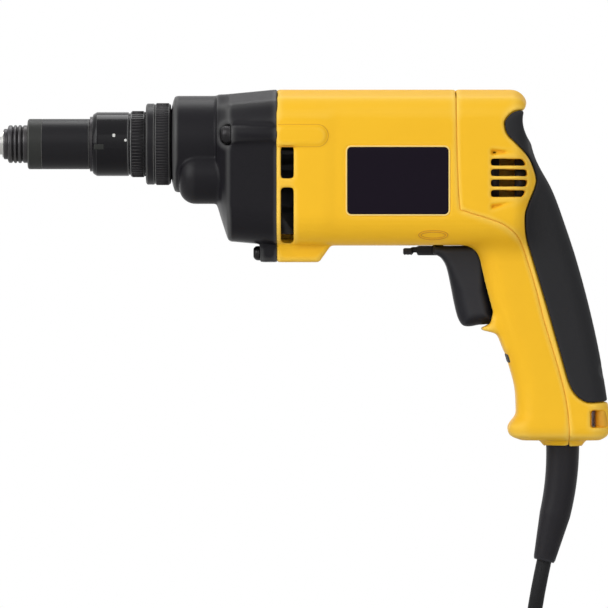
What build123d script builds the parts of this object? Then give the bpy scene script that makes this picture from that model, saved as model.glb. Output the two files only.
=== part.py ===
from build123d import *
import math
import os

# Corded pistol-grip electric screwdriver with an adjustable clutch.
# Millimetres. Origin at the middle of the grip, nose toward -X, +Z up, left side toward -Y.

os.makedirs("parts", exist_ok=True)

# Main axes and planes
SPINDLE_Z = 91.3
MOTOR_DROP = 12.5
MOTOR_Z = SPINDLE_Z - MOTOR_DROP
JOINT_X = -138.5

# Clearances
RUN_FIT = 0.05
SEAT_FIT = 0.03
SLIDE_FIT = 0.2
PART_GAP = 0.2
SOFT_GAP = 0.25

# Barrel of the motor housing and rear cover
BARREL_WIDTH = 72.0
BARREL_HEIGHT = 81.2
BARREL_CORNER = 17.0
BARREL_WALL = 3.0
TAIL_X = -7.9
TAIL_ROUND = 9.0
BARREL_TOP = MOTOR_Z + BARREL_HEIGHT / 2
BARREL_BOTTOM = MOTOR_Z - BARREL_HEIGHT / 2
BARREL_SIDE = BARREL_WIDTH / 2

# Handle: sections down its length as (height, front, rear, half width, corner)
HANDLE_TOP = [
    (99.8, -37.0, -11.5, 25.0, 9.0),
    (88.0, -37.0, -6.6, 26.5, 11.0),
    (67.2, -37.0, 5.2, 25.5, 12.0),
    (48.8, -35.5, 12.2, 22.5, 12.0),
    (29.4, -32.6, 18.6, 19.5, 11.0),
    (-1.0, -25.0, 26.6, 18.5, 10.5),
    (-22.0, -17.6, 31.0, 18.5, 10.5),
    (-40.4, -13.3, 34.0, 19.0, 10.0),
]
HANDLE_BASE = [
    (-40.4, -13.3, 34.0, 19.0, 10.0),
    (-49.5, -13.0, 35.3, 19.8, 10.0),
    (-57.5, -17.4, 35.8, 21.0, 10.0),
    (-62.0, -16.0, 34.0, 19.5, 9.0),
    (-64.0, -10.5, 30.5, 15.5, 7.0),
]
HANDLE_WALL = 4.8
CAVITY_FLOOR_Z = -36.0
LIP_HALF_WIDTH = 13.0
LIP_OUTLINE = [
    (-24.0, 2.0),
    (-28.9, -5.2),
    (-29.9, -6.6),
    (-25.8, -7.8),
    (-21.3, -12.2),
    (-15.0, -20.0),
]
FRONT_SLOT_Z = -23.6
FRONT_SLOT_HEIGHT = 4.7
FRONT_SLOT_HALF_WIDTH = 5.0
FRONT_SLOT_FLOOR_X = -15.0
WEB_X = 4.4
WEB_Z = 103.0
WEB_RADIUS = 15.0

# Parting line between motor housing and rear cover, top to bottom as (x, z)
SEAM_X = -45.1
SEAM_LINE = [
    (SEAM_X, 130.0),
    (SEAM_X, 98.7),
    (-43.6, 59.8),
    (-40.4, 55.6),
    (-27.3, 51.4),
    (-19.4, 48.0),
    (-13.6, 43.1),
    (-10.2, 36.8),
    (-7.4, 28.9),
    (-3.2, 15.2),
    (1.1, -1.6),
    (6.8, -20.5),
    (11.6, -38.3),
    (13.9, -54.1),
    (14.2, -75.0),
]

# Rubber grip on the rear of the handle: front edge, top to bottom as (x, z)
GRIP_EDGE = [
    (-5.0, 108.2),
    (-14.5, 108.0),
    (-19.5, 104.0),
    (-20.5, 100.3),
    (-18.9, 95.0),
    (-13.7, 89.8),
    (-7.4, 83.0),
    (-3.9, 74.0),
    (-4.2, 68.8),
    (-8.4, 58.3),
    (-9.7, 52.5),
    (-8.9, 42.5),
    (-5.4, 30.5),
    (2.4, 4.7),
    (9.9, -21.5),
    (13.6, -34.1),
    (16.8, -39.9),
    (21.3, -43.6),
    (26.3, -44.6),
    (40.0, -43.0),
]
GRIP_SKIN = 2.2

# Screws that hold the gear case on
CASE_SCREW_Y = 33.0
CASE_SCREW_Z = 95.3
CASE_RIDGE_RADIUS = 5.2
CASE_RIDGE_REAR_X = -113.6
LUG_SCREW_Y = 14.0
LUG_SCREW_Z = 34.0
LUG_HALF_WIDTH = 20.5
LUG_BOTTOM_Z = 29.4
LUG_REAR_X = -112.0
LUG_SLOPE = 6.8
LUG_FRONT_X = -147.5
LUG_RISE = 2.0
SCREW_RADIUS = 2.2
CASE_HEAD_RADIUS = 4.9
CASE_HEAD_HEIGHT = 5.4
LUG_HEAD_RADIUS = 3.7
LUG_HEAD_HEIGHT = 3.4
SCREW_GRIP = 15.0
SCREW_TIP_ROOM = 1.0
CASE_SCREW_SEAT_X = -162.5
HEAD_POCKET_WALL = 1.8
SCREW_CLEAR = 0.3
SCREW_DRIVE = 4.0
DRIVE_DEPTH = 2.0

# Screws that hold the rear cover on
COVER_SCREW_TOP_Z = 108.0
COVER_SCREW_TOP_SEAT_X = -20.0
COVER_SCREW_LOW_SEAT_X = 25.0
COVER_SCREW_LENGTH = 24.0
COVER_SCREW_LOW_Z = -28.0
COVER_SCREW_LOW_Y = 10.5
COVER_SCREW_RADIUS = 1.9
COVER_HEAD_RADIUS = 3.4
COVER_HEAD_HEIGHT = 2.6
COVER_BOSS_RADIUS = 4.4

# Vents
FRONT_VENT_X = -136.3
FRONT_VENT_LENGTH = 6.4
FRONT_VENTS_Z = [(72.7, 89.2), (39.7, 67.7)]
FRONT_VENT_INNER_Y = 19.0
VENT_RIB = 2.5
REAR_VENT_X = -27.3
REAR_VENT_END_X = -9.0
REAR_VENT_Z = 63.0
REAR_VENT_PITCH = 5.43
REAR_VENT_HEIGHT = 3.5
REAR_VENT_COUNT = 4
REAR_VENT_LEAN = 3.0
REAR_VENT_INNER_Y = 16.0

# Name plates, left bare
PLATE_X = -101.9
PLATE_LENGTH = 52.5
PLATE_Z = 54.0
PLATE_HEIGHT = 34.8
PLATE_THICK = 0.8
PLATE_DEPTH = 0.9
PLATE_CORNER = 2.1

# Gear case
BELL_FRONT_X = -164.0
BELL_FACE_X = -170.0
BELL_FRONT_WIDTH = 69.0
BELL_FRONT_HEIGHT = 76.6
BELL_FACE_WIDTH = 54.0
BELL_FACE_HEIGHT = 58.0
BELL_FACE_TOP = 117.0
CASE_WALL = 3.4
CASE_FACE_WALL = 4.0
BOSS_RADIUS = 25.3
BOSS_FRONT_X = -190.6
CASE_FRONT_X = -193.2
BOSS_LIP_RADIUS = 22.6
BUMP_RADIUS = 13.7
BUMP_FRONT_X = -189.6
BUMP_ROUND = 5.0
NECK_RADIUS = 17.8
NECK_FRONT_X = -205.0

# Gear train: motor pinion, lay gear, lay pinion, spindle gear
PRESSURE_ANGLE = math.radians(20)
MODULE_1 = 0.7
MOTOR_PINION_TEETH = 10
LAY_GEAR_TEETH = 36
SHIFT_1 = 0.4
MODULE_2 = 1.0
LAY_PINION_TEETH = 12
SPINDLE_GEAR_TEETH = 35
SHIFT_2 = 0.35
TIP_CUT = 0.15
ROOT_DEPTH = 1.25
BACKLASH = 0.14
FLANK_STEPS = 3
CENTRES_1 = MODULE_1 * (MOTOR_PINION_TEETH + LAY_GEAR_TEETH) / 2
CENTRES_2 = MODULE_2 * (LAY_PINION_TEETH + SPINDLE_GEAR_TEETH) / 2
LAY_DROP = (CENTRES_2**2 - CENTRES_1**2 - MOTOR_DROP**2) / (2 * MOTOR_DROP)
LAY_Y = -math.sqrt(CENTRES_1**2 - LAY_DROP**2)
LAY_Z = MOTOR_Z - LAY_DROP

# Bearing plate and what it carries
PLATE_BODY = 9.0
BEARING_PLATE_X = JOINT_X - PLATE_BODY
FRONT_BEARING_RADIUS = 9.5
FRONT_BEARING_WIDTH = 6.0
FRONT_JOURNAL_RADIUS = 3.5
SHAFT_HOLE_RADIUS = 6.0
MOTOR_SHAFT_RADIUS = 4.0
LAY_SHAFT_RADIUS = 3.5
LAY_BUSH_RADIUS = 5.0
LAY_BUSH_LENGTH = 6.0
REAR_BUSH_RADIUS = 5.4
REAR_BUSH_LENGTH = 8.0
REAR_BUSH_BOSS = 7.4
REAR_BUSH_FLOOR = 1.0
SPINDLE_REAR_RADIUS = 3.9

# Places along the gear train
MOTOR_PINION_GAP = 1.0
MOTOR_PINION_FACE = 9.0
LAY_GEAR_FACE = 8.0
LAY_SEAT_RADIUS = 4.9
LAY_PINION_FRONT_X = -179.5
LAY_PINION_FACE = 13.5
LAY_PINION_GAP = 2.0
SPINDLE_GEAR_FRONT_X = -178.0
SPINDLE_GEAR_FACE = 10.0
SPINDLE_GEAR_ROOM = 0.8
AXIAL_GAP = 0.3

# Spindle, clutch and nose
SPINDLE_RADIUS = 5.5
SPINDLE_TIP_X = -285.5
SPINDLE_FLANGE_RADIUS = 8.0
SPINDLE_FLANGE = 5.0
GEAR_WASHER = 1.2
GEAR_WASHER_RADIUS = 9.5
BIT_FLATS = 6.35
BIT_CLEAR = 0.1
BIT_DEPTH = 22.0
KEY_WIDTH = 3.0
KEY_HEIGHT = 1.6
CLUTCH_RADIUS = 14.8
CLUTCH_THICK = 5.5
CLUTCH_TRAVEL = 2.8
CLUTCH_ROOM = 0.8
DOG_HEIGHT = 2.4
DOG_INNER = 8.0
DOG_OUTER = 14.0
DOG_COUNT = 3
DOG_ANGLE = 56.0
TUBE_RADIUS = 14.4
TUBE_BORE = 12.2
TUBE_FRONT_X = -236.6
CASE_CAVITY_FRONT_X = -190.0
SPRING_WIRE = 2.2
SPRING_MEAN_RADIUS = 10.0
SPRING_TURNS = 5.0
SEAT_REAR_X = -212.4
SEAT_THICK = 3.4
SEAT_ROOM = 0.6
THRUST_WASHER = 1.4
EAR_WIDTH = 5.0
EAR_REACH = 15.2
EAR_SLOT_FRONT_X = -221.0
COLLAR_FRONT_X = -235.2
COLLAR_REAR_X = -207.5
COLLAR_RADIUS = 16.8
COLLAR_NOSE_RADIUS = 15.8
COLLAR_NOSE = 2.4
COLLAR_RING_X = -215.2
COLLAR_RING_RADIUS = 17.5
COLLAR_GROOVE = 0.8
COLLAR_GROOVE_DEPTH = 0.5
COLLAR_BORE_REAR = 15.5
LOCK_FRONT_X = -207.2
LOCK_REAR_X = -194.2
LOCK_RADIUS = 21.6
LOCK_BAND_RADIUS = 21.3
LOCK_BAND = 4.6
LOCK_CHAMFER = 0.9
LOCK_BORE = 18.05
NOSE_FRONT_X = -269.3
NOSE_RADIUS = 13.2
NOSE_CHAMFER = 0.9
NOSE_SPIGOT = 10.0
NOSE_BORE_DEPTH = 7.0
NOSE_BUSH_RADIUS = 8.4
NOSE_BUSH_LENGTH = 24.0
BIT_SLEEVE_RADIUS = 10.0
BIT_SLEEVE_FRONT_X = -282.0
BIT_SLEEVE_REAR_X = -265.0
BIT_SLEEVE_STEP = 8.1
BIT_SLEEVE_STEP_LENGTH = 2.4
BIT_SLEEVE_BORE = 7.3
BIT_SLEEVE_LAND = 5.0
BIT_SLEEVE_GROOVE = 0.9
BIT_SLEEVE_GROOVES = (2.2, 4.4, 8.4)
RETAINER_X = -282.6
RETAINER_THICK = 1.0
RETAINER_RADIUS = 7.0
SLEEVE_SPRING_WIRE = 0.9
SLEEVE_SPRING_RADIUS = 6.4
SLEEVE_SPRING_TURNS = 4.0
BALL_RADIUS = 1.5
BALL_X = -268.0

# Motor
CORE_FRONT_X = -103.0
CORE_LENGTH = 44.0
CORE_RADIUS = 18.6
CORE_SLOTS = 12
SLOT_WIDTH = 3.0
SLOT_DEPTH = 9.0
WINDING_END = 6.8
WINDING_OUTER = 16.6
CORE_SEAT_RADIUS = 5.2
FIELD_RADIUS = 30.0
FIELD_YOKE = 3.6
AIR_GAP = 0.7
POLE_ANGLE = 84.0
COIL_SIDE_ANGLE = 24.0
COIL_END = 8.0
COIL_CLEAR = 0.4
FAN_FRONT_X = -136.4
FAN_LENGTH = 12.0
FAN_RADIUS = 29.0
FAN_PLATE = 2.0
FAN_BLADES = 11
FAN_BLADE = 1.8
FAN_HUB = 8.5
BAFFLE_X = -121.0
BAFFLE_THICK = 2.5
BAFFLE_HOLE = 20.0
COMMUTATOR_FRONT_X = -51.5
COMMUTATOR_LENGTH = 12.0
COMMUTATOR_RADIUS = 11.5
COMMUTATOR_SLITS = 16
SLIT_WIDTH = 0.6
SLIT_DEPTH = 0.9
REAR_BEARING_X = -35.6
REAR_BEARING_RADIUS = 9.5
REAR_BEARING_WIDTH = 6.0
REAR_SHAFT_RADIUS = 3.5
REAR_WEB_X = -38.5
REAR_WEB = 3.0
REAR_SEAT_WALL = 3.0
SPIGOT_WALL = 2.4
SPIGOT_OVERLAP = 12.0
WEB_WINDOW_RADIUS = 7.0
WEB_WINDOW_PITCH = 22.0
FIELD_RIB_WIDTH = 5.0
BRUSH_LONG = 8.0
BRUSH_WIDE = 6.5
BRUSH_LENGTH = 11.0
HOLDER_WALL = 1.2
HOLDER_START = 12.6
HOLDER_END = 29.5
BRUSH_SPRING_WIRE = 0.7
BRUSH_SPRING_TURNS = 4.0
BRUSH_SPRING_RADIUS = 2.2

# Switch, trigger and reversing lever
TRIGGER_HALF_WIDTH = 9.8
TRIGGER_TRAVEL = 6.0
TRIGGER_ROUND = 1.6
TRIGGER_TOP = 37.2
TRIGGER_FRONT = [
    (-57.0, 33.3),
    (-54.4, 32.9),
    (-52.0, 31.1),
    (-49.6, 26.7),
    (-47.6, 17.9),
    (-45.9, 9.0),
    (-44.3, 2.2),
    (-42.7, -1.8),
    (-40.7, -4.0),
    (-37.5, -4.4),
    (-33.1, -3.2),
]
TRIGGER_HEEL = (-23.6, -1.8)
TRIGGER_REAR = (-30.0, 30.0)
TRIGGER_BACK_X = -33.4
SPRING_POCKET_RADIUS = 5.6
FORK_HALF_WIDTH = 5.4
FORK_REAR_X = -48.0
OPENING_TOP_Z = 37.7
OPENING_BOTTOM_Z = -4.6
STEM_RADIUS = 2.6
STEM_Z = 14.0
STEM_LENGTH = 17.0
SWITCH_FRONT_X = -16.5
SWITCH_LENGTH = 27.0
SWITCH_CORNER = 2.0
SWITCH_BOTTOM_Z = -3.0
SWITCH_HEIGHT = 30.0
TRIGGER_SPRING_WIRE = 1.0
TRIGGER_SPRING_RADIUS = 4.2
TRIGGER_SPRING_TURNS = 4.0
TRIGGER_SPRING_X = -28.0
LEVER_PIVOT_X = -54.0
LEVER_TIP_X = -72.4
LEVER_THICK = 5.0
LEVER_GAP = 0.3
LEVER_HALF_WIDTH = 3.8
LEVER_TAB_LENGTH = 7.2
LEVER_TAB_HALF_WIDTH = 5.0
LEVER_TAB_ROUND = 2.0
LEVER_PIN_RADIUS = 2.5
LEVER_HEAD_RADIUS = 4.0
LEVER_HEAD = 1.2

# Lanyard slot in the base
LANYARD_X = 25.0
LANYARD_WIDTH = 2.8
LANYARD_BOTTOM_Z = -57.2
LANYARD_HEIGHT = 9.0
LANYARD_RECESS = 3.0

# Mains lead
CORD_RADIUS = 4.0
CORD_X = 11.4
CORD_TOP_Z = -27.0
WIRE_RADIUS = 1.2
WIRE_X = 9.0
WIRE_Y = 2.0
HUB_TOP_RADIUS = 12.2
HUB_BOTTOM_RADIUS = 9.4
HUB_BOTTOM_Z = -68.4
BOOT_RADIUS = 8.7
BOOT_MID_RADIUS = 8.1
BOOT_END_RADIUS = 5.6
BOOT_LENGTH = 60.0
BOOT_ARC_LENGTH = 35.0
BOOT_BEND_RADIUS = 150.0
BOOT_FLANGE_RADIUS = 10.6
BOOT_FLANGE = 3.0
BOOT_FLANGE_Z = -61.0
CLAMP_HALF_WIDTH = 12.5
CLAMP_FRONT_X = -2.0
CLAMP_REAR_X = 18.0
CLAMP_THICK = 3.0
CLAMP_SCREW_X = 2.5
CLAMP_SCREW_Y = 8.5
CLAMP_SCREW_RADIUS = 1.5
CLAMP_SCREW_HEAD = 2.8
CLAMP_HEAD_HEIGHT = 1.5
CLAMP_SCREW_LENGTH = 10.0
CORD_LEAN_RUN = 62.0
CORD_FALL = [(-6.0, 14.0, -184.0), (-15.2, 35.8, -203.0), (-34.0, 57.6, -206.6)]
BEND_SHARE = 0.45
FLOOR_Z = -212.0
TIE_THICK = 1.2
TIE_WIDTH = 10.0
TIE_SLACK = 0.8
COIL_X = -66.0
COIL_Y = 12.0
COIL_INNER = 28.0
COIL_OUTER = 60.0
COIL_HEIGHT = 16.0
COIL_ROUND = 3.8
PLUG_X = -20.0
PLUG_LENGTH = 36.0
PLUG_WIDTH = 26.0
PLUG_NECK = 12.0
PLUG_ROUND = 4.0
BLADE_LENGTH = 17.0
BLADE_WIDTH = 6.3
BLADE_THICK = 1.5
BLADE_PITCH = 12.7
BLADE_ROOT = 4.0


def axis_plane(y, z):
    """Plane holding a line along X: local x runs along the line, local y is the radius."""
    return Plane(origin=(0, y, z), x_dir=(1, 0, 0), z_dir=(0, -1, 0))


SPINDLE = axis_plane(0, SPINDLE_Z)
MOTOR = axis_plane(0, MOTOR_Z)
LAY = axis_plane(LAY_Y, LAY_Z)


def turn(plane, outline, mode=Mode.ADD):
    """Revolve an (x, radius) outline about the line that its plane holds."""
    with BuildSketch(plane) as section:
        with BuildLine():
            Polyline(*outline, close=True)
        make_face()
    revolve(section.sketch, axis=Axis(plane.origin, plane.x_dir), mode=mode)


def ring(plane, x0, x1, inner, outer, mode=Mode.ADD):
    """Plain ring between two places on a line along X."""
    turn(plane, [(x0, inner), (x1, inner), (x1, outer), (x0, outer)], mode)


def bar(y, z, x0, x1, radius, mode=Mode.ADD):
    """Round bar along X."""
    with BuildSketch(Plane.YZ.offset(x0)) as section:
        with Locations((y, z)):
            Circle(radius)
    extrude(section.sketch, amount=x1 - x0, mode=mode)


def post(x, y, z0, z1, radius, mode=Mode.ADD):
    """Round bar along Z."""
    with BuildSketch(Plane.XY.offset(z0)) as section:
        with Locations((x, y)):
            Circle(radius)
    extrude(section.sketch, amount=z1 - z0, mode=mode)


def block(x0, x1, y0, y1, z0, z1, mode=Mode.ADD):
    """Square block between six faces."""
    with BuildSketch(Plane.XY.offset(z0)) as section:
        with Locations(((x0 + x1) / 2, (y0 + y1) / 2)):
            Rectangle(x1 - x0, y1 - y0)
    extrude(section.sketch, amount=z1 - z0, mode=mode)


def slab(outline, half_width, mode=Mode.ADD):
    """Side outline in X and Z, as thick as the tool is wide."""
    with BuildSketch(Plane.XZ) as section:
        with BuildLine():
            Polyline(*outline, close=True)
        make_face()
    extrude(section.sketch, amount=half_width, both=True, mode=mode)


def barrel(inset, x0, x1, mode=Mode.ADD):
    """Length of the barrel's section, drawn in all round by an inset."""
    with BuildSketch(Plane.YZ.offset(x0)) as section:
        with Locations((0, MOTOR_Z)):
            RectangleRounded(
                BARREL_WIDTH - 2 * inset, BARREL_HEIGHT - 2 * inset, BARREL_CORNER - inset
            )
    extrude(section.sketch, amount=x1 - x0, mode=mode)


def handle(sections, inset, mode=Mode.ADD):
    """Loft through level handle sections, drawn in all round by an inset."""
    faces = []
    for z, front, rear, half, corner in sections:
        with BuildSketch(Plane.XY.offset(z)) as section:
            with Locations(((front + rear) / 2, 0)):
                RectangleRounded(
                    rear - front - 2 * inset, 2 * (half - inset), corner - inset
                )
        faces.append(section.sketch.face())
    loft(faces, mode=mode)


def sector(plane, r_inner, r_outer, middle, width):
    """Face of a ring sector, from its middle angle and its width in degrees."""
    with BuildSketch(plane) as face:
        with BuildLine():
            outer = CenterArc((0, 0), r_outer, middle - width / 2, width)
            inner = CenterArc((0, 0), r_inner, middle - width / 2, width)
            Line(outer @ 0, inner @ 0)
            Line(outer @ 1, inner @ 1)
        make_face()
    return face.sketch


def cross_plane(axis, x):
    """Plane across a line along X, with local x toward +Y and local y toward +Z."""
    return Plane(origin=(x, axis.origin.Y, axis.origin.Z), x_dir=(0, 1, 0), z_dir=(1, 0, 0))


def involute(angle):
    return math.tan(angle) - angle


def gear_outline(module, teeth, shift, first_tooth):
    """Closed gear outline with one tooth centred on the first_tooth angle in degrees."""
    pitch = module * teeth / 2
    base = pitch * math.cos(PRESSURE_ANGLE)
    tip = pitch + module * (1 + shift - TIP_CUT)
    root = pitch - module * (ROOT_DEPTH - shift)
    thick = module * (math.pi / 2 + 2 * shift * math.tan(PRESSURE_ANGLE)) - BACKLASH
    half = thick / (2 * pitch) + involute(PRESSURE_ANGLE)
    start = max(base, root)
    flank = []
    for step in range(FLANK_STEPS + 1):
        radius = start + (tip - start) * step / FLANK_STEPS
        flank.append((radius, half - involute(math.acos(min(1, base / radius)))))
    if root < start:
        flank.insert(0, (root, flank[0][1]))
    points = []
    for tooth in range(teeth):
        middle = math.radians(first_tooth) + 2 * math.pi * tooth / teeth
        for radius, angle in flank:
            points.append((radius, middle - angle))
        for radius, angle in reversed(flank):
            points.append((radius, middle + angle))
    return [(r * math.cos(a), r * math.sin(a)) for r, a in points]


def gear(axis, x0, face, outline):
    """Toothed wheel, extruded along +X from x0."""
    with BuildSketch(cross_plane(axis, x0)) as section:
        with BuildLine():
            Polyline(*outline, close=True)
        make_face()
    extrude(section.sketch, amount=face)


def coil_spring(end, length, mean, wire, turns):
    """Helical spring that starts on its end plane and runs along that plane's normal."""
    height = length - wire
    start = end.origin + end.z_dir * (wire / 2)
    with BuildLine() as path:
        Helix(pitch=height / turns, height=height, radius=mean, center=start, direction=end.z_dir)
    with BuildSketch(Plane(origin=path.line @ 0, z_dir=path.line % 0)) as section:
        Circle(wire / 2)
    sweep(section.sketch, path=path.line, is_frenet=True)


def screw(y, z, x_head, direction, length, radius, head_radius, head_height):
    """Screw along X: x_head is the seat under the head, direction the way its tip points."""
    x_tip = x_head + direction * length
    x_top = x_head - direction * head_height
    bar(y, z, min(x_head, x_tip), max(x_head, x_tip), radius)
    bar(y, z, min(x_head, x_top), max(x_head, x_top), head_radius)
    with BuildSketch(Plane.YZ.offset(x_top)) as drive:
        with Locations((y, z)):
            RegularPolygon(SCREW_DRIVE / 2 * radius / SCREW_RADIUS, 6)
    extrude(drive.sketch, amount=direction * DRIVE_DEPTH, mode=Mode.SUBTRACT)


def housing_form(inset):
    """Outside of barrel and handle together, drawn in all round by an inset."""
    with BuildPart() as form:
        barrel(inset, JOINT_X, TAIL_X - inset)
        fillet(form.edges().group_by(Axis.X)[-1], TAIL_ROUND - inset)
        handle(HANDLE_TOP, inset)
        with BuildSketch(Plane.XZ) as web:
            with Locations((WEB_X - inset, WEB_Z)):
                Circle(WEB_RADIUS)
        extrude(web.sketch, amount=BARREL_WIDTH, both=True, mode=Mode.SUBTRACT)
    return form.part


WIDE = BARREL_WIDTH
REAR_LIMIT = 60.0
LAY_BUSH_X = LAY_PINION_FRONT_X - LAY_BUSH_LENGTH - LAY_PINION_GAP
seam_outline = SEAM_LINE + [(REAR_LIMIT, SEAM_LINE[-1][1]), (REAR_LIMIT, SEAM_LINE[0][1])]
cover_outline = [(x + PART_GAP, z) for x, z in SEAM_LINE] + seam_outline[-2:]
grip_tail = [(REAR_LIMIT, GRIP_EDGE[-1][1]), (REAR_LIMIT, GRIP_EDGE[0][1])]
grip_pocket = GRIP_EDGE + grip_tail
grip_outline = [(x + SOFT_GAP, z - SOFT_GAP) for x, z in GRIP_EDGE[:4]]
grip_outline += [(x + SOFT_GAP, z) for x, z in GRIP_EDGE[4:-4]]
grip_outline += [(x + SOFT_GAP, z + SOFT_GAP) for x, z in GRIP_EDGE[-4:]]
grip_outline += [(REAR_LIMIT, grip_outline[-1][1]), (REAR_LIMIT, grip_outline[0][1])]

outside = housing_form(0)
under_grip = housing_form(GRIP_SKIN)
pocket_floor = housing_form(GRIP_SKIN + SOFT_GAP)

with BuildPart() as outer_form:
    add(outside)
    handle(HANDLE_BASE, 0)
    slab(LIP_OUTLINE, LIP_HALF_WIDTH)
    with BuildSketch(Plane.XZ) as hub:
        with BuildLine():
            Polyline(
                (CORD_X, HANDLE_BASE[-2][0]),
                (CORD_X + HUB_TOP_RADIUS, HANDLE_BASE[-2][0]),
                (CORD_X + HUB_TOP_RADIUS, HANDLE_BASE[-1][0]),
                (CORD_X + HUB_BOTTOM_RADIUS, HUB_BOTTOM_Z),
                (CORD_X, HUB_BOTTOM_Z),
                close=True,
            )
        make_face()
    revolve(axis=Axis((CORD_X, 0, 0), (0, 0, 1)))

with BuildPart() as inner_form:
    barrel(BARREL_WALL, JOINT_X, TAIL_X - BARREL_WALL - TAIL_ROUND)
    handle(HANDLE_TOP, HANDLE_WALL)
    block(-REAR_LIMIT, REAR_LIMIT, -WIDE, WIDE, HANDLE_BASE[-1][0], CAVITY_FLOOR_Z, mode=Mode.SUBTRACT)

with BuildPart() as rear_space:
    slab(cover_outline, WIDE)

with BuildPart() as front_space:
    slab(seam_outline, WIDE)

with BuildPart() as grip_space:
    slab(grip_outline, WIDE)

with BuildPart() as pocket_space:
    slab(grip_pocket, WIDE)
    add(pocket_floor, mode=Mode.SUBTRACT)
    handle(HANDLE_BASE, GRIP_SKIN + SOFT_GAP, mode=Mode.SUBTRACT)


def boot_path(distance):
    """Plane across the strain relief at a distance below the hub."""
    lean = min(distance, BOOT_ARC_LENGTH) / BOOT_BEND_RADIUS
    straight = max(0, distance - BOOT_ARC_LENGTH)
    x = CORD_X - BOOT_BEND_RADIUS * (1 - math.cos(lean)) - straight * math.sin(lean)
    z = HUB_BOTTOM_Z - BOOT_BEND_RADIUS * math.sin(lean) - straight * math.cos(lean)
    return Plane(origin=(x, 0, z), x_dir=(0, 1, 0), z_dir=(-math.sin(lean), 0, -math.cos(lean)))


flange_low_z = BOOT_FLANGE_Z - BOOT_FLANGE / 2
flange_high_z = BOOT_FLANGE_Z + BOOT_FLANGE / 2
cord_room = CORD_RADIUS + SOFT_GAP
with BuildPart() as cord_space:
    post(CORD_X, 0, flange_low_z - SOFT_GAP, flange_high_z + SOFT_GAP, BOOT_FLANGE_RADIUS + SOFT_GAP)
    post(CORD_X, 0, HUB_BOTTOM_Z, BOOT_FLANGE_Z, BOOT_RADIUS + SOFT_GAP)
    post(CORD_X, 0, BOOT_FLANGE_Z, CAVITY_FLOOR_Z, cord_room)


def save(piece, label):
    """Name a finished piece and write its STEP file."""
    piece.part.label = label
    export_step(piece.part, f"parts/{label}.step")


# Motor housing: barrel front, handle front, screw ridges, rear web and bearing seat
web_front = REAR_WEB_X
web_rear = REAR_WEB_X + REAR_WEB
bearing_rear_x = REAR_BEARING_X + REAR_BEARING_WIDTH
spigot_inset = BARREL_WALL + PART_GAP
brush_x = COMMUTATOR_FRONT_X + COMMUTATOR_LENGTH / 2
holder_half_x = BRUSH_LONG / 2 + HOLDER_WALL + SLIDE_FIT
holder_half_z = BRUSH_WIDE / 2 + HOLDER_WALL + SLIDE_FIT
lug_outline = [
    (JOINT_X, LUG_BOTTOM_Z),
    (LUG_REAR_X - LUG_SLOPE, LUG_BOTTOM_Z),
    (LUG_REAR_X, BARREL_BOTTOM),
    (LUG_REAR_X, BARREL_BOTTOM + BARREL_WALL),
    (JOINT_X, BARREL_BOTTOM + BARREL_WALL),
]
with BuildPart() as spigot:
    barrel(BARREL_WALL - PART_GAP, SEAM_X - SPIGOT_OVERLAP, SEAM_X)
    barrel(spigot_inset, SEAM_X, web_rear)
    barrel(spigot_inset + SPIGOT_WALL, SEAM_X - SPIGOT_OVERLAP, web_front, mode=Mode.SUBTRACT)
    for y, z in ((-1, 1), (1, 1), (-1, -1), (1, -1)):
        bar(
            y * WEB_WINDOW_PITCH / math.sqrt(2),
            MOTOR_Z + z * WEB_WINDOW_PITCH / math.sqrt(2),
            web_front,
            web_rear,
            WEB_WINDOW_RADIUS,
            mode=Mode.SUBTRACT,
        )
    bar(0, MOTOR_Z, web_front, bearing_rear_x, REAR_BEARING_RADIUS + REAR_SEAT_WALL)
    bar(0, MOTOR_Z, REAR_BEARING_X, bearing_rear_x, REAR_BEARING_RADIUS + SEAT_FIT, mode=Mode.SUBTRACT)
    bar(0, MOTOR_Z, web_front, REAR_BEARING_X, SHAFT_HOLE_RADIUS, mode=Mode.SUBTRACT)
    for side in (-1, 1):
        block(
            brush_x + holder_half_x,
            web_front,
            min(side * HOLDER_START, side * HOLDER_END),
            max(side * HOLDER_START, side * HOLDER_END),
            MOTOR_Z - holder_half_z,
            MOTOR_Z + holder_half_z,
        )
    block(
        SEAM_X,
        web_rear,
        -COVER_BOSS_RADIUS,
        COVER_BOSS_RADIUS,
        COVER_SCREW_TOP_Z - COVER_BOSS_RADIUS,
        BARREL_TOP - spigot_inset - SPIGOT_WALL / 2,
    )
    screw_tip = COVER_SCREW_TOP_SEAT_X - COVER_SCREW_LENGTH
    thread_radius = COVER_SCREW_RADIUS + SEAT_FIT
    bar(0, COVER_SCREW_TOP_Z, screw_tip - SLIDE_FIT, web_rear, thread_radius, mode=Mode.SUBTRACT)

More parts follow.
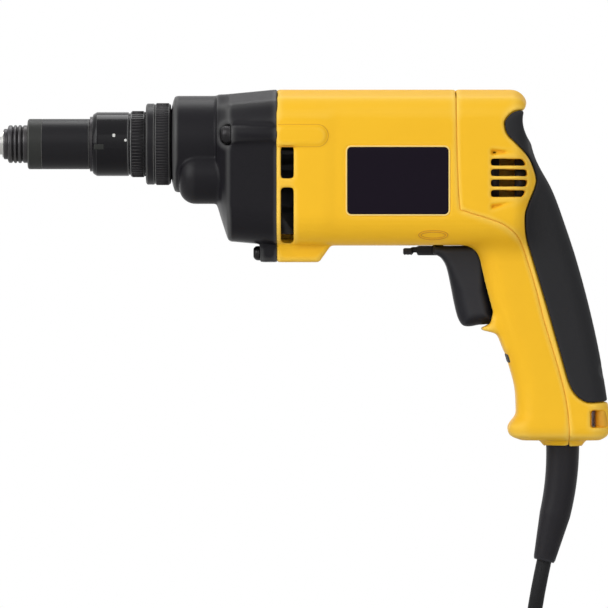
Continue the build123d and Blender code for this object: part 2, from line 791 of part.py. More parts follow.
with BuildPart() as motor_housing:
    add(outer_form.part)
    for side in (-1, 1):
        bar(side * CASE_SCREW_Y, CASE_SCREW_Z, JOINT_X, CASE_RIDGE_REAR_X, CASE_RIDGE_RADIUS)
        with Locations((CASE_RIDGE_REAR_X, side * CASE_SCREW_Y, CASE_SCREW_Z)):
            Sphere(CASE_RIDGE_RADIUS)
    slab(lug_outline, LUG_HALF_WIDTH)
    add(inner_form.part, mode=Mode.SUBTRACT)
    for side in (-1, 1):
        bar(side * CASE_SCREW_Y, CASE_SCREW_Z, JOINT_X, CASE_RIDGE_REAR_X, CASE_RIDGE_RADIUS)
        bar(
            side * COVER_SCREW_LOW_Y,
            COVER_SCREW_LOW_Z,
            HANDLE_TOP[6][1] + HANDLE_WALL / 2,
            REAR_LIMIT / 2,
            COVER_BOSS_RADIUS,
        )
    core_rear_x = CORE_FRONT_X + CORE_LENGTH
    half_rib = FIELD_RIB_WIDTH / 2
    rib_reach = BARREL_SIDE - BARREL_WALL / 2
    block(CORE_FRONT_X, core_rear_x, -rib_reach, rib_reach, MOTOR_Z - half_rib, MOTOR_Z + half_rib)
    rib_low = BARREL_BOTTOM + BARREL_WALL / 2
    rib_high = BARREL_TOP - BARREL_WALL / 2
    block(CORE_FRONT_X, core_rear_x, -half_rib, half_rib, rib_low, rib_high)
    vent_rib_top = MOTOR_Z - FAN_RADIUS - AXIAL_GAP
    block(JOINT_X, BAFFLE_X - PART_GAP, -VENT_RIB / 2, VENT_RIB / 2, rib_low, vent_rib_top)
    bar(0, MOTOR_Z, CORE_FRONT_X, core_rear_x, FIELD_RADIUS + SEAT_FIT, mode=Mode.SUBTRACT)
    add(cord_space.part, mode=Mode.SUBTRACT)
    add(front_space.part, mode=Mode.SUBTRACT)
    add(spigot.part)
    block(
        -REAR_LIMIT,
        SWITCH_FRONT_X,
        -TRIGGER_HALF_WIDTH - SLIDE_FIT,
        TRIGGER_HALF_WIDTH + SLIDE_FIT,
        OPENING_BOTTOM_Z,
        OPENING_TOP_Z,
        mode=Mode.SUBTRACT,
    )
    for side in (-1, 1):
        bar(
            side * CASE_SCREW_Y,
            CASE_SCREW_Z,
            JOINT_X,
            JOINT_X + SCREW_GRIP + SCREW_TIP_ROOM,
            SCREW_RADIUS + SEAT_FIT,
            mode=Mode.SUBTRACT,
        )
        bar(
            side * LUG_SCREW_Y,
            LUG_SCREW_Z,
            JOINT_X,
            JOINT_X + SCREW_GRIP + SCREW_TIP_ROOM,
            SCREW_RADIUS + SEAT_FIT,
            mode=Mode.SUBTRACT,
        )
        bar(
            side * COVER_SCREW_LOW_Y,
            COVER_SCREW_LOW_Z,
            COVER_SCREW_LOW_SEAT_X - COVER_SCREW_LENGTH - SLIDE_FIT,
            REAR_LIMIT / 2,
            COVER_SCREW_RADIUS + SEAT_FIT,
            mode=Mode.SUBTRACT,
        )
        for low, high in FRONT_VENTS_Z:
            block(
                FRONT_VENT_X,
                FRONT_VENT_X + FRONT_VENT_LENGTH,
                min(side * FRONT_VENT_INNER_Y, side * WIDE),
                max(side * FRONT_VENT_INNER_Y, side * WIDE),
                low,
                high,
                mode=Mode.SUBTRACT,
            )
        block(
            PLATE_X - PART_GAP,
            PLATE_X + PLATE_LENGTH + PART_GAP,
            min(side * (BARREL_SIDE - PLATE_DEPTH), side * WIDE),
            max(side * (BARREL_SIDE - PLATE_DEPTH), side * WIDE),
            PLATE_Z - PART_GAP,
            PLATE_Z + PLATE_HEIGHT + PART_GAP,
            mode=Mode.SUBTRACT,
        )
        post(
            CLAMP_SCREW_X,
            side * CLAMP_SCREW_Y,
            CAVITY_FLOOR_Z - CLAMP_SCREW_LENGTH,
            CAVITY_FLOOR_Z,
            CLAMP_SCREW_RADIUS + SEAT_FIT,
            mode=Mode.SUBTRACT,
        )
    post(
        LEVER_PIVOT_X,
        0,
        BARREL_BOTTOM,
        BARREL_BOTTOM + BARREL_WALL,
        LEVER_PIN_RADIUS + RUN_FIT,
        mode=Mode.SUBTRACT,
    )
    post(
        LEVER_PIVOT_X,
        0,
        BARREL_BOTTOM + BARREL_WALL,
        BARREL_BOTTOM + spigot_inset + SPIGOT_WALL,
        LEVER_HEAD_RADIUS + AXIAL_GAP,
        mode=Mode.SUBTRACT,
    )
    block(
        -REAR_LIMIT,
        FRONT_SLOT_FLOOR_X,
        -FRONT_SLOT_HALF_WIDTH,
        FRONT_SLOT_HALF_WIDTH,
        FRONT_SLOT_Z,
        FRONT_SLOT_Z + FRONT_SLOT_HEIGHT,
        mode=Mode.SUBTRACT,
    )
save(motor_housing, "motor_housing")

# Rear cover: barrel rear and the back of the handle, with rear vents and the lanyard slot
rear_vents_top = REAR_VENT_Z + REAR_VENT_COUNT * REAR_VENT_PITCH
with BuildPart() as cover_rib:
    add(pocket_floor)
    block(
        bearing_rear_x + AXIAL_GAP,
        REAR_LIMIT,
        -VENT_RIB / 2,
        VENT_RIB / 2,
        REAR_VENT_Z - REAR_VENT_HEIGHT,
        rear_vents_top,
        mode=Mode.INTERSECT,
    )

with BuildPart() as handle_cover:
    add(outer_form.part)
    add(inner_form.part, mode=Mode.SUBTRACT)
    add(cover_rib.part)
    block(
        web_rear + PART_GAP,
        COVER_SCREW_TOP_SEAT_X,
        -COVER_BOSS_RADIUS,
        COVER_BOSS_RADIUS,
        COVER_SCREW_TOP_Z - COVER_BOSS_RADIUS,
        BARREL_TOP - BARREL_WALL / 2,
    )
    for side in (-1, 1):
        bar(
            side * COVER_SCREW_LOW_Y,
            COVER_SCREW_LOW_Z,
            HANDLE_TOP[6][1] + HANDLE_WALL / 2,
            COVER_SCREW_LOW_SEAT_X,
            COVER_BOSS_RADIUS,
        )
    add(pocket_space.part, mode=Mode.SUBTRACT)
    add(cord_space.part, mode=Mode.SUBTRACT)
    add(rear_space.part, mode=Mode.INTERSECT)
    for index in range(REAR_VENT_COUNT):
        low = REAR_VENT_Z + index * REAR_VENT_PITCH
        high = low + REAR_VENT_HEIGHT
        end = REAR_VENT_END_X - REAR_VENT_LEAN * index / REAR_VENT_COUNT
        for side in (-1, 1):
            block(
                REAR_VENT_X,
                end,
                min(side * REAR_VENT_INNER_Y, side * WIDE),
                max(side * REAR_VENT_INNER_Y, side * WIDE),
                low,
                high,
                mode=Mode.SUBTRACT,
            )
    block(
        LANYARD_X,
        LANYARD_X + LANYARD_WIDTH,
        -WIDE,
        WIDE,
        LANYARD_BOTTOM_Z,
        LANYARD_BOTTOM_Z + LANYARD_HEIGHT,
        mode=Mode.SUBTRACT,
    )
    recess_y = HANDLE_BASE[2][3] - LANYARD_RECESS
    for side in (-1, 1):
        block(
            LANYARD_X,
            REAR_LIMIT,
            min(side * recess_y, side * WIDE),
            max(side * recess_y, side * WIDE),
            LANYARD_BOTTOM_Z,
            LANYARD_BOTTOM_Z + LANYARD_HEIGHT,
            mode=Mode.SUBTRACT,
        )
        bar(
            side * COVER_SCREW_LOW_Y,
            COVER_SCREW_LOW_Z,
            0,
            COVER_SCREW_LOW_SEAT_X,
            COVER_SCREW_RADIUS + SLIDE_FIT,
            mode=Mode.SUBTRACT,
        )
        bar(
            side * COVER_SCREW_LOW_Y,
            COVER_SCREW_LOW_Z,
            COVER_SCREW_LOW_SEAT_X,
            REAR_LIMIT,
            COVER_HEAD_RADIUS + SLIDE_FIT,
            mode=Mode.SUBTRACT,
        )
    shank_room = COVER_SCREW_RADIUS + SLIDE_FIT
    head_room = COVER_HEAD_RADIUS + SLIDE_FIT
    bar(0, COVER_SCREW_TOP_Z, SEAM_X, COVER_SCREW_TOP_SEAT_X, shank_room, mode=Mode.SUBTRACT)
    bar(0, COVER_SCREW_TOP_Z, COVER_SCREW_TOP_SEAT_X, REAR_LIMIT, head_room, mode=Mode.SUBTRACT)
save(handle_cover, "handle_cover")

# Rubber skin over the back of the handle
with BuildPart() as rear_grip:
    add(outside)
    handle(HANDLE_BASE, 0)
    add(under_grip, mode=Mode.SUBTRACT)
    handle(HANDLE_BASE, GRIP_SKIN, mode=Mode.SUBTRACT)
    add(grip_space.part, mode=Mode.INTERSECT)
    for side in (-1, 1):
        bar(
            side * COVER_SCREW_LOW_Y,
            COVER_SCREW_LOW_Z,
            0,
            REAR_LIMIT,
            COVER_HEAD_RADIUS + SLIDE_FIT,
            mode=Mode.SUBTRACT,
        )
save(rear_grip, "rear_grip")

# Bare name plates, one each side
with BuildPart() as name_plates:
    for side in (-1, 1):
        floor_y = side * (BARREL_SIDE - PLATE_DEPTH)
        with BuildSketch(Plane.XZ.offset(-floor_y)) as plate:
            with Locations((PLATE_X + PLATE_LENGTH / 2, PLATE_Z + PLATE_HEIGHT / 2)):
                RectangleRounded(PLATE_LENGTH, PLATE_HEIGHT, PLATE_CORNER)
        extrude(plate.sketch, amount=-side * PLATE_THICK)
save(name_plates, "name_plates")

# Gear case: bell, spindle boss, lay shaft bump, threaded neck, screw ridges and lug
bell_front_z = BELL_FACE_TOP - BELL_FRONT_HEIGHT / 2
bell_face_z = BELL_FACE_TOP - BELL_FACE_HEIGHT / 2
case_lug = [
    (LUG_FRONT_X, LUG_BOTTOM_Z),
    (JOINT_X, LUG_BOTTOM_Z),
    (JOINT_X, BARREL_BOTTOM + CASE_WALL),
    (LUG_FRONT_X, BARREL_BOTTOM + CASE_WALL + LUG_RISE),
]
bell_sections = [
    (JOINT_X, BARREL_WIDTH, BARREL_HEIGHT, BARREL_CORNER, MOTOR_Z),
    (BELL_FRONT_X, BELL_FRONT_WIDTH, BELL_FRONT_HEIGHT, BARREL_CORNER, bell_front_z),
    (BELL_FACE_X, BELL_FACE_WIDTH, BELL_FACE_HEIGHT, BARREL_CORNER, bell_face_z),
]


def bell(sections, inset, shift, mode=Mode.ADD):
    """Straight loft through upright bell sections, drawn in by an inset and shifted along X."""
    faces = []
    for x, width, height, corner, z in sections:
        with BuildSketch(Plane.YZ.offset(x + shift)) as section:
            with Locations((0, z)):
                RectangleRounded(width - 2 * inset, height - 2 * inset, corner - inset)
        faces.append(section.sketch.face())
    loft(faces, ruled=True, mode=mode)


gear_room = MODULE_2 * (SPINDLE_GEAR_TEETH / 2 + 1) + SPINDLE_GEAR_ROOM
clutch_room = CLUTCH_RADIUS + CLUTCH_ROOM
gear_room_front = SPINDLE_GEAR_FRONT_X - SPINDLE_GEAR_ROOM
lay_room = BUMP_RADIUS - CASE_WALL
head_room = CASE_HEAD_RADIUS + SCREW_CLEAR
low_head_room = LUG_HEAD_RADIUS + SCREW_CLEAR
shank_room = SCREW_RADIUS + SCREW_CLEAR
pocket_floor_x = CASE_SCREW_SEAT_X + HEAD_POCKET_WALL
with BuildPart() as case_room:
    bell(bell_sections[:2], CASE_WALL, 0)
    bell(bell_sections[1:], CASE_WALL, CASE_FACE_WALL)
    for side in (-1, 1):
        pocket = head_room + HEAD_POCKET_WALL
        bar(side * CASE_SCREW_Y, CASE_SCREW_Z, BELL_FACE_X, pocket_floor_x, pocket, mode=Mode.SUBTRACT)

with BuildPart() as gear_case:
    bell(bell_sections, 0, 0)
    turn(
        SPINDLE,
        [
            (BELL_FRONT_X, 0),
            (BELL_FRONT_X, BOSS_RADIUS),
            (BOSS_FRONT_X, BOSS_RADIUS),
            (CASE_FRONT_X, BOSS_LIP_RADIUS),
            (CASE_FRONT_X, NECK_RADIUS),
            (NECK_FRONT_X, NECK_RADIUS),
            (NECK_FRONT_X, 0),
        ],
    )
    with BuildSketch(LAY) as bump:
        with BuildLine():
            Polyline(
                (BUMP_FRONT_X + BUMP_ROUND, BUMP_RADIUS),
                (BELL_FRONT_X, BUMP_RADIUS),
                (BELL_FRONT_X, 0),
                (BUMP_FRONT_X, 0),
                (BUMP_FRONT_X, BUMP_RADIUS - BUMP_ROUND),
            )
            CenterArc((BUMP_FRONT_X + BUMP_ROUND, BUMP_RADIUS - BUMP_ROUND), BUMP_ROUND, 90, 90)
        make_face()
    revolve(bump.sketch, axis=Axis(LAY.origin, LAY.x_dir))
    for side in (-1, 1):
        bar(side * CASE_SCREW_Y, CASE_SCREW_Z, CASE_SCREW_SEAT_X, JOINT_X, CASE_RIDGE_RADIUS)
    slab(case_lug, LUG_HALF_WIDTH)
    add(case_room.part, mode=Mode.SUBTRACT)
    ring(SPINDLE, gear_room_front, BELL_FRONT_X, 0, gear_room, mode=Mode.SUBTRACT)
    ring(SPINDLE, CASE_CAVITY_FRONT_X, gear_room_front, 0, clutch_room, mode=Mode.SUBTRACT)
    ring(SPINDLE, NECK_FRONT_X, CASE_CAVITY_FRONT_X, 0, TUBE_RADIUS + SEAT_FIT, mode=Mode.SUBTRACT)
    lay_seat = LAY_BUSH_X + LAY_BUSH_LENGTH
    ring(LAY, lay_seat, BELL_FRONT_X, 0, lay_room, mode=Mode.SUBTRACT)
    ring(LAY, LAY_BUSH_X, lay_seat, 0, LAY_BUSH_RADIUS + SEAT_FIT, mode=Mode.SUBTRACT)
    for side in (-1, 1):
        bar(side * CASE_SCREW_Y, CASE_SCREW_Z, CASE_SCREW_SEAT_X, JOINT_X, CASE_RIDGE_RADIUS)
        bar(side * CASE_SCREW_Y, CASE_SCREW_Z, BELL_FACE_X, CASE_SCREW_SEAT_X, head_room, mode=Mode.SUBTRACT)
        bar(side * CASE_SCREW_Y, CASE_SCREW_Z, CASE_SCREW_SEAT_X, JOINT_X, shank_room, mode=Mode.SUBTRACT)
        bar(side * LUG_SCREW_Y, LUG_SCREW_Z, BELL_FRONT_X, LUG_FRONT_X, low_head_room, mode=Mode.SUBTRACT)
        bar(side * LUG_SCREW_Y, LUG_SCREW_Z, LUG_FRONT_X, JOINT_X, shank_room, mode=Mode.SUBTRACT)
save(gear_case, "gear_case")

# Screws that hold gear case and cover
case_screws = [
    (CASE_SCREW_Y, CASE_SCREW_Z, CASE_SCREW_SEAT_X, CASE_HEAD_RADIUS, CASE_HEAD_HEIGHT),
    (LUG_SCREW_Y, LUG_SCREW_Z, LUG_FRONT_X, LUG_HEAD_RADIUS, LUG_HEAD_HEIGHT),
]
with BuildPart() as gear_case_screws:
    for side in (-1, 1):
        for y, z, seat, head_radius, head_height in case_screws:
            reach = JOINT_X + SCREW_GRIP - seat
            screw(side * y, z, seat, 1, reach, SCREW_RADIUS, head_radius, head_height)
save(gear_case_screws, "gear_case_screws")

with BuildPart() as handle_cover_screws:
    places = [(0, COVER_SCREW_TOP_Z, COVER_SCREW_TOP_SEAT_X)]
    for side in (-1, 1):
        places.append((side * COVER_SCREW_LOW_Y, COVER_SCREW_LOW_Z, COVER_SCREW_LOW_SEAT_X))
    for y, z, seat in places:
        screw(y, z, seat, -1, COVER_SCREW_LENGTH, COVER_SCREW_RADIUS, COVER_HEAD_RADIUS, COVER_HEAD_HEIGHT)
save(handle_cover_screws, "handle_cover_screws")

# Bearing plate with the front motor bearing, the lay shaft's rear bush and the spindle's rear bush
boss_front_x = BEARING_PLATE_X - REAR_BUSH_LENGTH - REAR_BUSH_FLOOR
with BuildPart() as bearing_plate:
    bell(bell_sections[:2], CASE_WALL + PART_GAP, 0)
    block(BELL_FRONT_X, BEARING_PLATE_X, -WIDE, WIDE, 0, BARREL_TOP, mode=Mode.SUBTRACT)
    for side in (-1, 1):
        ridge_room = CASE_RIDGE_RADIUS + PART_GAP
        bar(side * CASE_SCREW_Y, CASE_SCREW_Z, BEARING_PLATE_X, JOINT_X, ridge_room, mode=Mode.SUBTRACT)
    bar(0, SPINDLE_Z, boss_front_x, BEARING_PLATE_X, REAR_BUSH_BOSS)
    bush_rear_x = boss_front_x + REAR_BUSH_LENGTH
    ring(SPINDLE, boss_front_x, bush_rear_x, 0, REAR_BUSH_RADIUS + SEAT_FIT, mode=Mode.SUBTRACT)
    pocket_x = JOINT_X - FRONT_BEARING_WIDTH
    ring(MOTOR, pocket_x, JOINT_X, 0, FRONT_BEARING_RADIUS + SEAT_FIT, mode=Mode.SUBTRACT)
    ring(MOTOR, BEARING_PLATE_X, pocket_x, 0, SHAFT_HOLE_RADIUS, mode=Mode.SUBTRACT)
    lay_bush_rear = BEARING_PLATE_X + LAY_BUSH_LENGTH
    ring(LAY, BEARING_PLATE_X, lay_bush_rear, 0, LAY_BUSH_RADIUS + SEAT_FIT, mode=Mode.SUBTRACT)
save(bearing_plate, "bearing_plate")

with BuildPart() as front_bearing:
    ring(MOTOR, pocket_x, JOINT_X, FRONT_JOURNAL_RADIUS + RUN_FIT, FRONT_BEARING_RADIUS)
save(front_bearing, "front_bearing")

with BuildPart() as rear_bearing:
    ring(MOTOR, REAR_BEARING_X, bearing_rear_x, REAR_SHAFT_RADIUS + RUN_FIT, REAR_BEARING_RADIUS)
save(rear_bearing, "rear_bearing")

with BuildPart() as lay_bushes:
    for x in (LAY_BUSH_X, BEARING_PLATE_X):
        ring(LAY, x, x + LAY_BUSH_LENGTH, LAY_SHAFT_RADIUS + RUN_FIT, LAY_BUSH_RADIUS)
save(lay_bushes, "lay_bushes")

with BuildPart() as spindle_rear_bush:
    ring(SPINDLE, boss_front_x, bush_rear_x, SPINDLE_REAR_RADIUS + RUN_FIT, REAR_BUSH_RADIUS)
save(spindle_rear_bush, "spindle_rear_bush")

# Lay shaft: gear driven by the motor, pinion that drives the spindle gear
to_lay = math.degrees(math.atan2(LAY_Z - MOTOR_Z, LAY_Y))
to_spindle = math.degrees(math.atan2(SPINDLE_Z - LAY_Z, -LAY_Y))
motor_pinion_x = BEARING_PLATE_X - MOTOR_PINION_GAP - MOTOR_PINION_FACE
lay_gear_x = motor_pinion_x + (MOTOR_PINION_FACE - LAY_GEAR_FACE) / 2
lay_pinion_rear = LAY_PINION_FRONT_X + LAY_PINION_FACE
with BuildPart() as lay_gear:
    half_tooth = 180 / LAY_GEAR_TEETH
    outline = gear_outline(MODULE_1, LAY_GEAR_TEETH, -SHIFT_1, to_lay + 180 + half_tooth)
    gear(LAY, lay_gear_x, LAY_GEAR_FACE, outline)
    ring(LAY, lay_gear_x, lay_gear_x + LAY_GEAR_FACE, 0, LAY_SEAT_RADIUS + SEAT_FIT, mode=Mode.SUBTRACT)
save(lay_gear, "lay_gear")

with BuildPart() as lay_shaft:
    outline = gear_outline(MODULE_2, LAY_PINION_TEETH, SHIFT_2, to_spindle)
    gear(LAY, LAY_PINION_FRONT_X, LAY_PINION_FACE, outline)
    ring(LAY, LAY_BUSH_X + AXIAL_GAP, LAY_PINION_FRONT_X, 0, LAY_SHAFT_RADIUS)
    ring(LAY, lay_pinion_rear, BEARING_PLATE_X - AXIAL_GAP, 0, LAY_SEAT_RADIUS)
    ring(LAY, BEARING_PLATE_X - AXIAL_GAP, BEARING_PLATE_X + LAY_BUSH_LENGTH - AXIAL_GAP, 0, LAY_SHAFT_RADIUS)
save(lay_shaft, "lay_shaft")

# Spindle gear with its driving dogs
gear_rear_x = SPINDLE_GEAR_FRONT_X + SPINDLE_GEAR_FACE
dog_pitch = 360 / DOG_COUNT
with BuildPart() as spindle_gear:
    half_tooth = 180 / SPINDLE_GEAR_TEETH
    outline = gear_outline(MODULE_2, SPINDLE_GEAR_TEETH, -SHIFT_2, to_spindle + 180 + half_tooth)
    gear(SPINDLE, SPINDLE_GEAR_FRONT_X, SPINDLE_GEAR_FACE, outline)
    for index in range(DOG_COUNT):
        dog_face = cross_plane(SPINDLE, SPINDLE_GEAR_FRONT_X - DOG_HEIGHT)
        extrude(sector(dog_face, DOG_INNER, DOG_OUTER, index * dog_pitch, DOG_ANGLE), amount=DOG_HEIGHT)
    ring(SPINDLE, SPINDLE_GEAR_FRONT_X, gear_rear_x, 0, SPINDLE_RADIUS + RUN_FIT, mode=Mode.SUBTRACT)
save(spindle_gear, "spindle_gear")

# Clutch plate, keyed to the spindle, with its driven dogs
clutch_rear_x = SPINDLE_GEAR_FRONT_X - DOG_HEIGHT - AXIAL_GAP
clutch_front_x = clutch_rear_x - CLUTCH_THICK
key_reach = SPINDLE_RADIUS + KEY_HEIGHT
with BuildPart() as clutch_plate:
    ring(SPINDLE, clutch_front_x, clutch_rear_x, SPINDLE_RADIUS + SLIDE_FIT, CLUTCH_RADIUS)
    for index in range(DOG_COUNT):
        dog_face = cross_plane(SPINDLE, clutch_rear_x)
        middle = (index + 0.5) * dog_pitch
        extrude(sector(dog_face, DOG_INNER, DOG_OUTER, middle, DOG_ANGLE), amount=DOG_HEIGHT)
    key_room = key_reach + SLIDE_FIT
    key_half = KEY_WIDTH / 2 + SLIDE_FIT
    block(
        clutch_front_x,
        clutch_rear_x,
        -key_room,
        key_room,
        SPINDLE_Z - key_half,
        SPINDLE_Z + key_half,
        mode=Mode.SUBTRACT,
    )
save(clutch_plate, "clutch_plate")

# Output spindle with its hexagonal bit socket
flange_front_x = gear_rear_x + GEAR_WASHER + 2 * RUN_FIT
flange_rear_x = flange_front_x + SPINDLE_FLANGE
journal_x = boss_front_x - AXIAL_GAP
with BuildPart() as output_spindle:
    turn(
        SPINDLE,
        [
            (SPINDLE_TIP_X, 0),
            (SPINDLE_TIP_X, SPINDLE_RADIUS - AXIAL_GAP),
            (SPINDLE_TIP_X + AXIAL_GAP, SPINDLE_RADIUS),
            (flange_front_x, SPINDLE_RADIUS),
            (flange_front_x, SPINDLE_FLANGE_RADIUS),
            (flange_rear_x, SPINDLE_FLANGE_RADIUS),
            (flange_rear_x, SPINDLE_RADIUS),
            (journal_x, SPINDLE_RADIUS),
            (journal_x, SPINDLE_REAR_RADIUS),
            (boss_front_x + REAR_BUSH_LENGTH - AXIAL_GAP, SPINDLE_REAR_RADIUS),
            (boss_front_x + REAR_BUSH_LENGTH - AXIAL_GAP, 0),
        ],
    )
    block(
        clutch_front_x - CLUTCH_TRAVEL,
        clutch_rear_x,
        -key_reach,
        key_reach,
        SPINDLE_Z - KEY_WIDTH / 2,
        SPINDLE_Z + KEY_WIDTH / 2,
    )
    with BuildSketch(cross_plane(SPINDLE, SPINDLE_TIP_X)) as socket:
        RegularPolygon((BIT_FLATS + BIT_CLEAR) / 2, 6, major_radius=False)
    extrude(socket.sketch, amount=BIT_DEPTH, mode=Mode.SUBTRACT)
    post(BALL_X, 0, SPINDLE_Z, SPINDLE_Z + SPINDLE_RADIUS, BALL_RADIUS + RUN_FIT, mode=Mode.SUBTRACT)
save(output_spindle, "output_spindle")

with BuildPart() as gear_washer:
    washer_x = gear_rear_x + RUN_FIT
    ring(SPINDLE, washer_x, washer_x + GEAR_WASHER, SPINDLE_RADIUS + SEAT_FIT, GEAR_WASHER_RADIUS)
save(gear_washer, "gear_washer")

with BuildPart() as bit_ball:
    with Locations((BALL_X, 0, SPINDLE_Z + SPINDLE_RADIUS - BALL_RADIUS - RUN_FIT)):
        Sphere(BALL_RADIUS)
save(bit_ball, "bit_ball")

# Clutch spring between the clutch plate and the thrust washer
thrust_front_x = SEAT_REAR_X + AXIAL_GAP
thrust_rear_x = thrust_front_x + THRUST_WASHER
with BuildPart() as thrust_washer:
    ring(SPINDLE, thrust_front_x, thrust_rear_x, SPINDLE_RADIUS + SLIDE_FIT, TUBE_BORE - SLIDE_FIT)
save(thrust_washer, "thrust_washer")

with BuildPart() as clutch_spring:
    spring_room = clutch_front_x - thrust_rear_x
    coil_spring(
        cross_plane(SPINDLE, thrust_rear_x + RUN_FIT),
        spring_room - 2 * RUN_FIT,
        SPRING_MEAN_RADIUS,
        SPRING_WIRE,
        SPRING_TURNS,
    )
save(clutch_spring, "clutch_spring")

# Spring seat whose ears reach through the tube to the adjusting collar
seat_front_x = SEAT_REAR_X - SEAT_THICK
with BuildPart() as spring_seat:
    ring(SPINDLE, seat_front_x, SEAT_REAR_X, SPINDLE_RADIUS + SEAT_ROOM, TUBE_BORE - SLIDE_FIT)
    ear_root = SPINDLE_RADIUS + SEAT_THICK
    for side in (-1, 1):
        block(
            seat_front_x,
            SEAT_REAR_X,
            -EAR_WIDTH / 2,
            EAR_WIDTH / 2,
            SPINDLE_Z + min(side * ear_root, side * EAR_REACH),
            SPINDLE_Z + max(side * ear_root, side * EAR_REACH),
        )
save(spring_seat, "spring_seat")

# Clutch tube, fixed in the gear case neck
with BuildPart() as clutch_tube:
    ring(SPINDLE, TUBE_FRONT_X, CASE_CAVITY_FRONT_X, TUBE_BORE, TUBE_RADIUS)
    slot_half = EAR_WIDTH / 2 + SLIDE_FIT
    block(
        EAR_SLOT_FRONT_X,
        SEAT_REAR_X + SLIDE_FIT,
        -slot_half,
        slot_half,
        SPINDLE_Z - BOSS_RADIUS,
        SPINDLE_Z + BOSS_RADIUS,
        mode=Mode.SUBTRACT,
    )
save(clutch_tube, "clutch_tube")

# Adjusting collar and lock ring
collar_bore = TUBE_RADIUS + AXIAL_GAP
shoulder_x = seat_front_x - AXIAL_GAP
groove_x = COLLAR_RING_X - COLLAR_GROOVE
with BuildPart() as adjusting_collar:
    turn(
        SPINDLE,
        [
            (COLLAR_FRONT_X, collar_bore),
            (COLLAR_FRONT_X, COLLAR_NOSE_RADIUS),
            (COLLAR_FRONT_X + COLLAR_NOSE, COLLAR_RADIUS),
            (groove_x, COLLAR_RADIUS),
            (groove_x, COLLAR_RADIUS - COLLAR_GROOVE_DEPTH),
            (COLLAR_RING_X, COLLAR_RADIUS - COLLAR_GROOVE_DEPTH),
            (COLLAR_RING_X, COLLAR_RING_RADIUS),
            (COLLAR_REAR_X, COLLAR_RING_RADIUS),
            (COLLAR_REAR_X, COLLAR_BORE_REAR),
            (shoulder_x, COLLAR_BORE_REAR),
            (shoulder_x, collar_bore),
        ],
    )
save(adjusting_collar, "adjusting_collar")

with BuildPart() as lock_ring:
    turn(
        SPINDLE,
        [
            (LOCK_FRONT_X, LOCK_BORE),
            (LOCK_FRONT_X, LOCK_BAND_RADIUS - LOCK_CHAMFER),
            (LOCK_FRONT_X + LOCK_CHAMFER, LOCK_BAND_RADIUS),
            (LOCK_FRONT_X + LOCK_BAND, LOCK_BAND_RADIUS),
            (LOCK_FRONT_X + LOCK_BAND, LOCK_RADIUS),
            (LOCK_REAR_X - LOCK_CHAMFER, LOCK_RADIUS),
            (LOCK_REAR_X, LOCK_RADIUS - LOCK_CHAMFER),
            (LOCK_REAR_X, LOCK_BORE),
        ],
    )
save(lock_ring, "lock_ring")

# Nose sleeve with the spindle's front bush
nose_mouth = BIT_SLEEVE_RADIUS + AXIAL_GAP
nose_floor_x = NOSE_FRONT_X + NOSE_BORE_DEPTH
with BuildPart() as nose_sleeve:
    turn(
        SPINDLE,
        [
            (NOSE_FRONT_X, nose_mouth),
            (NOSE_FRONT_X, NOSE_RADIUS - NOSE_CHAMFER),
            (NOSE_FRONT_X + NOSE_CHAMFER, NOSE_RADIUS),
            (TUBE_FRONT_X, NOSE_RADIUS),
            (TUBE_FRONT_X, TUBE_BORE - SEAT_FIT),
            (TUBE_FRONT_X + NOSE_SPIGOT, TUBE_BORE - SEAT_FIT),
            (TUBE_FRONT_X + NOSE_SPIGOT, NOSE_BUSH_RADIUS + SEAT_FIT),
            (nose_floor_x, NOSE_BUSH_RADIUS + SEAT_FIT),
            (nose_floor_x, nose_mouth),
        ],
    )
save(nose_sleeve, "nose_sleeve")

with BuildPart() as nose_bush:
    bush_x = nose_floor_x + AXIAL_GAP
    ring(SPINDLE, bush_x, bush_x + NOSE_BUSH_LENGTH, SPINDLE_RADIUS + RUN_FIT, NOSE_BUSH_RADIUS)
save(nose_bush, "nose_bush")

# Ribbed bit sleeve, its spring and its retainer
land_x = BIT_SLEEVE_REAR_X - BIT_SLEEVE_LAND
rib_start = BIT_SLEEVE_FRONT_X + BIT_SLEEVE_STEP_LENGTH
with BuildPart() as bit_sleeve:
    turn(
        SPINDLE,
        [
            (BIT_SLEEVE_FRONT_X, BIT_SLEEVE_BORE),
            (BIT_SLEEVE_FRONT_X, BIT_SLEEVE_STEP),
            (rib_start, BIT_SLEEVE_STEP),
            (rib_start, BIT_SLEEVE_RADIUS),
            (BIT_SLEEVE_REAR_X, BIT_SLEEVE_RADIUS),
            (BIT_SLEEVE_REAR_X, SPINDLE_RADIUS + RUN_FIT),
            (land_x, SPINDLE_RADIUS + RUN_FIT),
            (land_x, BIT_SLEEVE_BORE),
        ],
    )
    for place in BIT_SLEEVE_GROOVES:
        groove_start = rib_start + place
        ring(
            SPINDLE,
            groove_start,
            groove_start + BIT_SLEEVE_GROOVE,
            BIT_SLEEVE_RADIUS - BIT_SLEEVE_GROOVE,
            NOSE_RADIUS,
            mode=Mode.SUBTRACT,
        )
save(bit_sleeve, "bit_sleeve")

with BuildPart() as sleeve_retainer:
    ring(SPINDLE, RETAINER_X, RETAINER_X + RETAINER_THICK, SPINDLE_RADIUS + SEAT_FIT, RETAINER_RADIUS)
save(sleeve_retainer, "sleeve_retainer")

with BuildPart() as sleeve_spring:
    retainer_rear = RETAINER_X + RETAINER_THICK + RUN_FIT
    coil_spring(
        cross_plane(SPINDLE, retainer_rear),
        land_x - RUN_FIT - retainer_rear,
        SLEEVE_SPRING_RADIUS,
        SLEEVE_SPRING_WIRE,
        SLEEVE_SPRING_TURNS,
    )
save(sleeve_spring, "sleeve_spring")

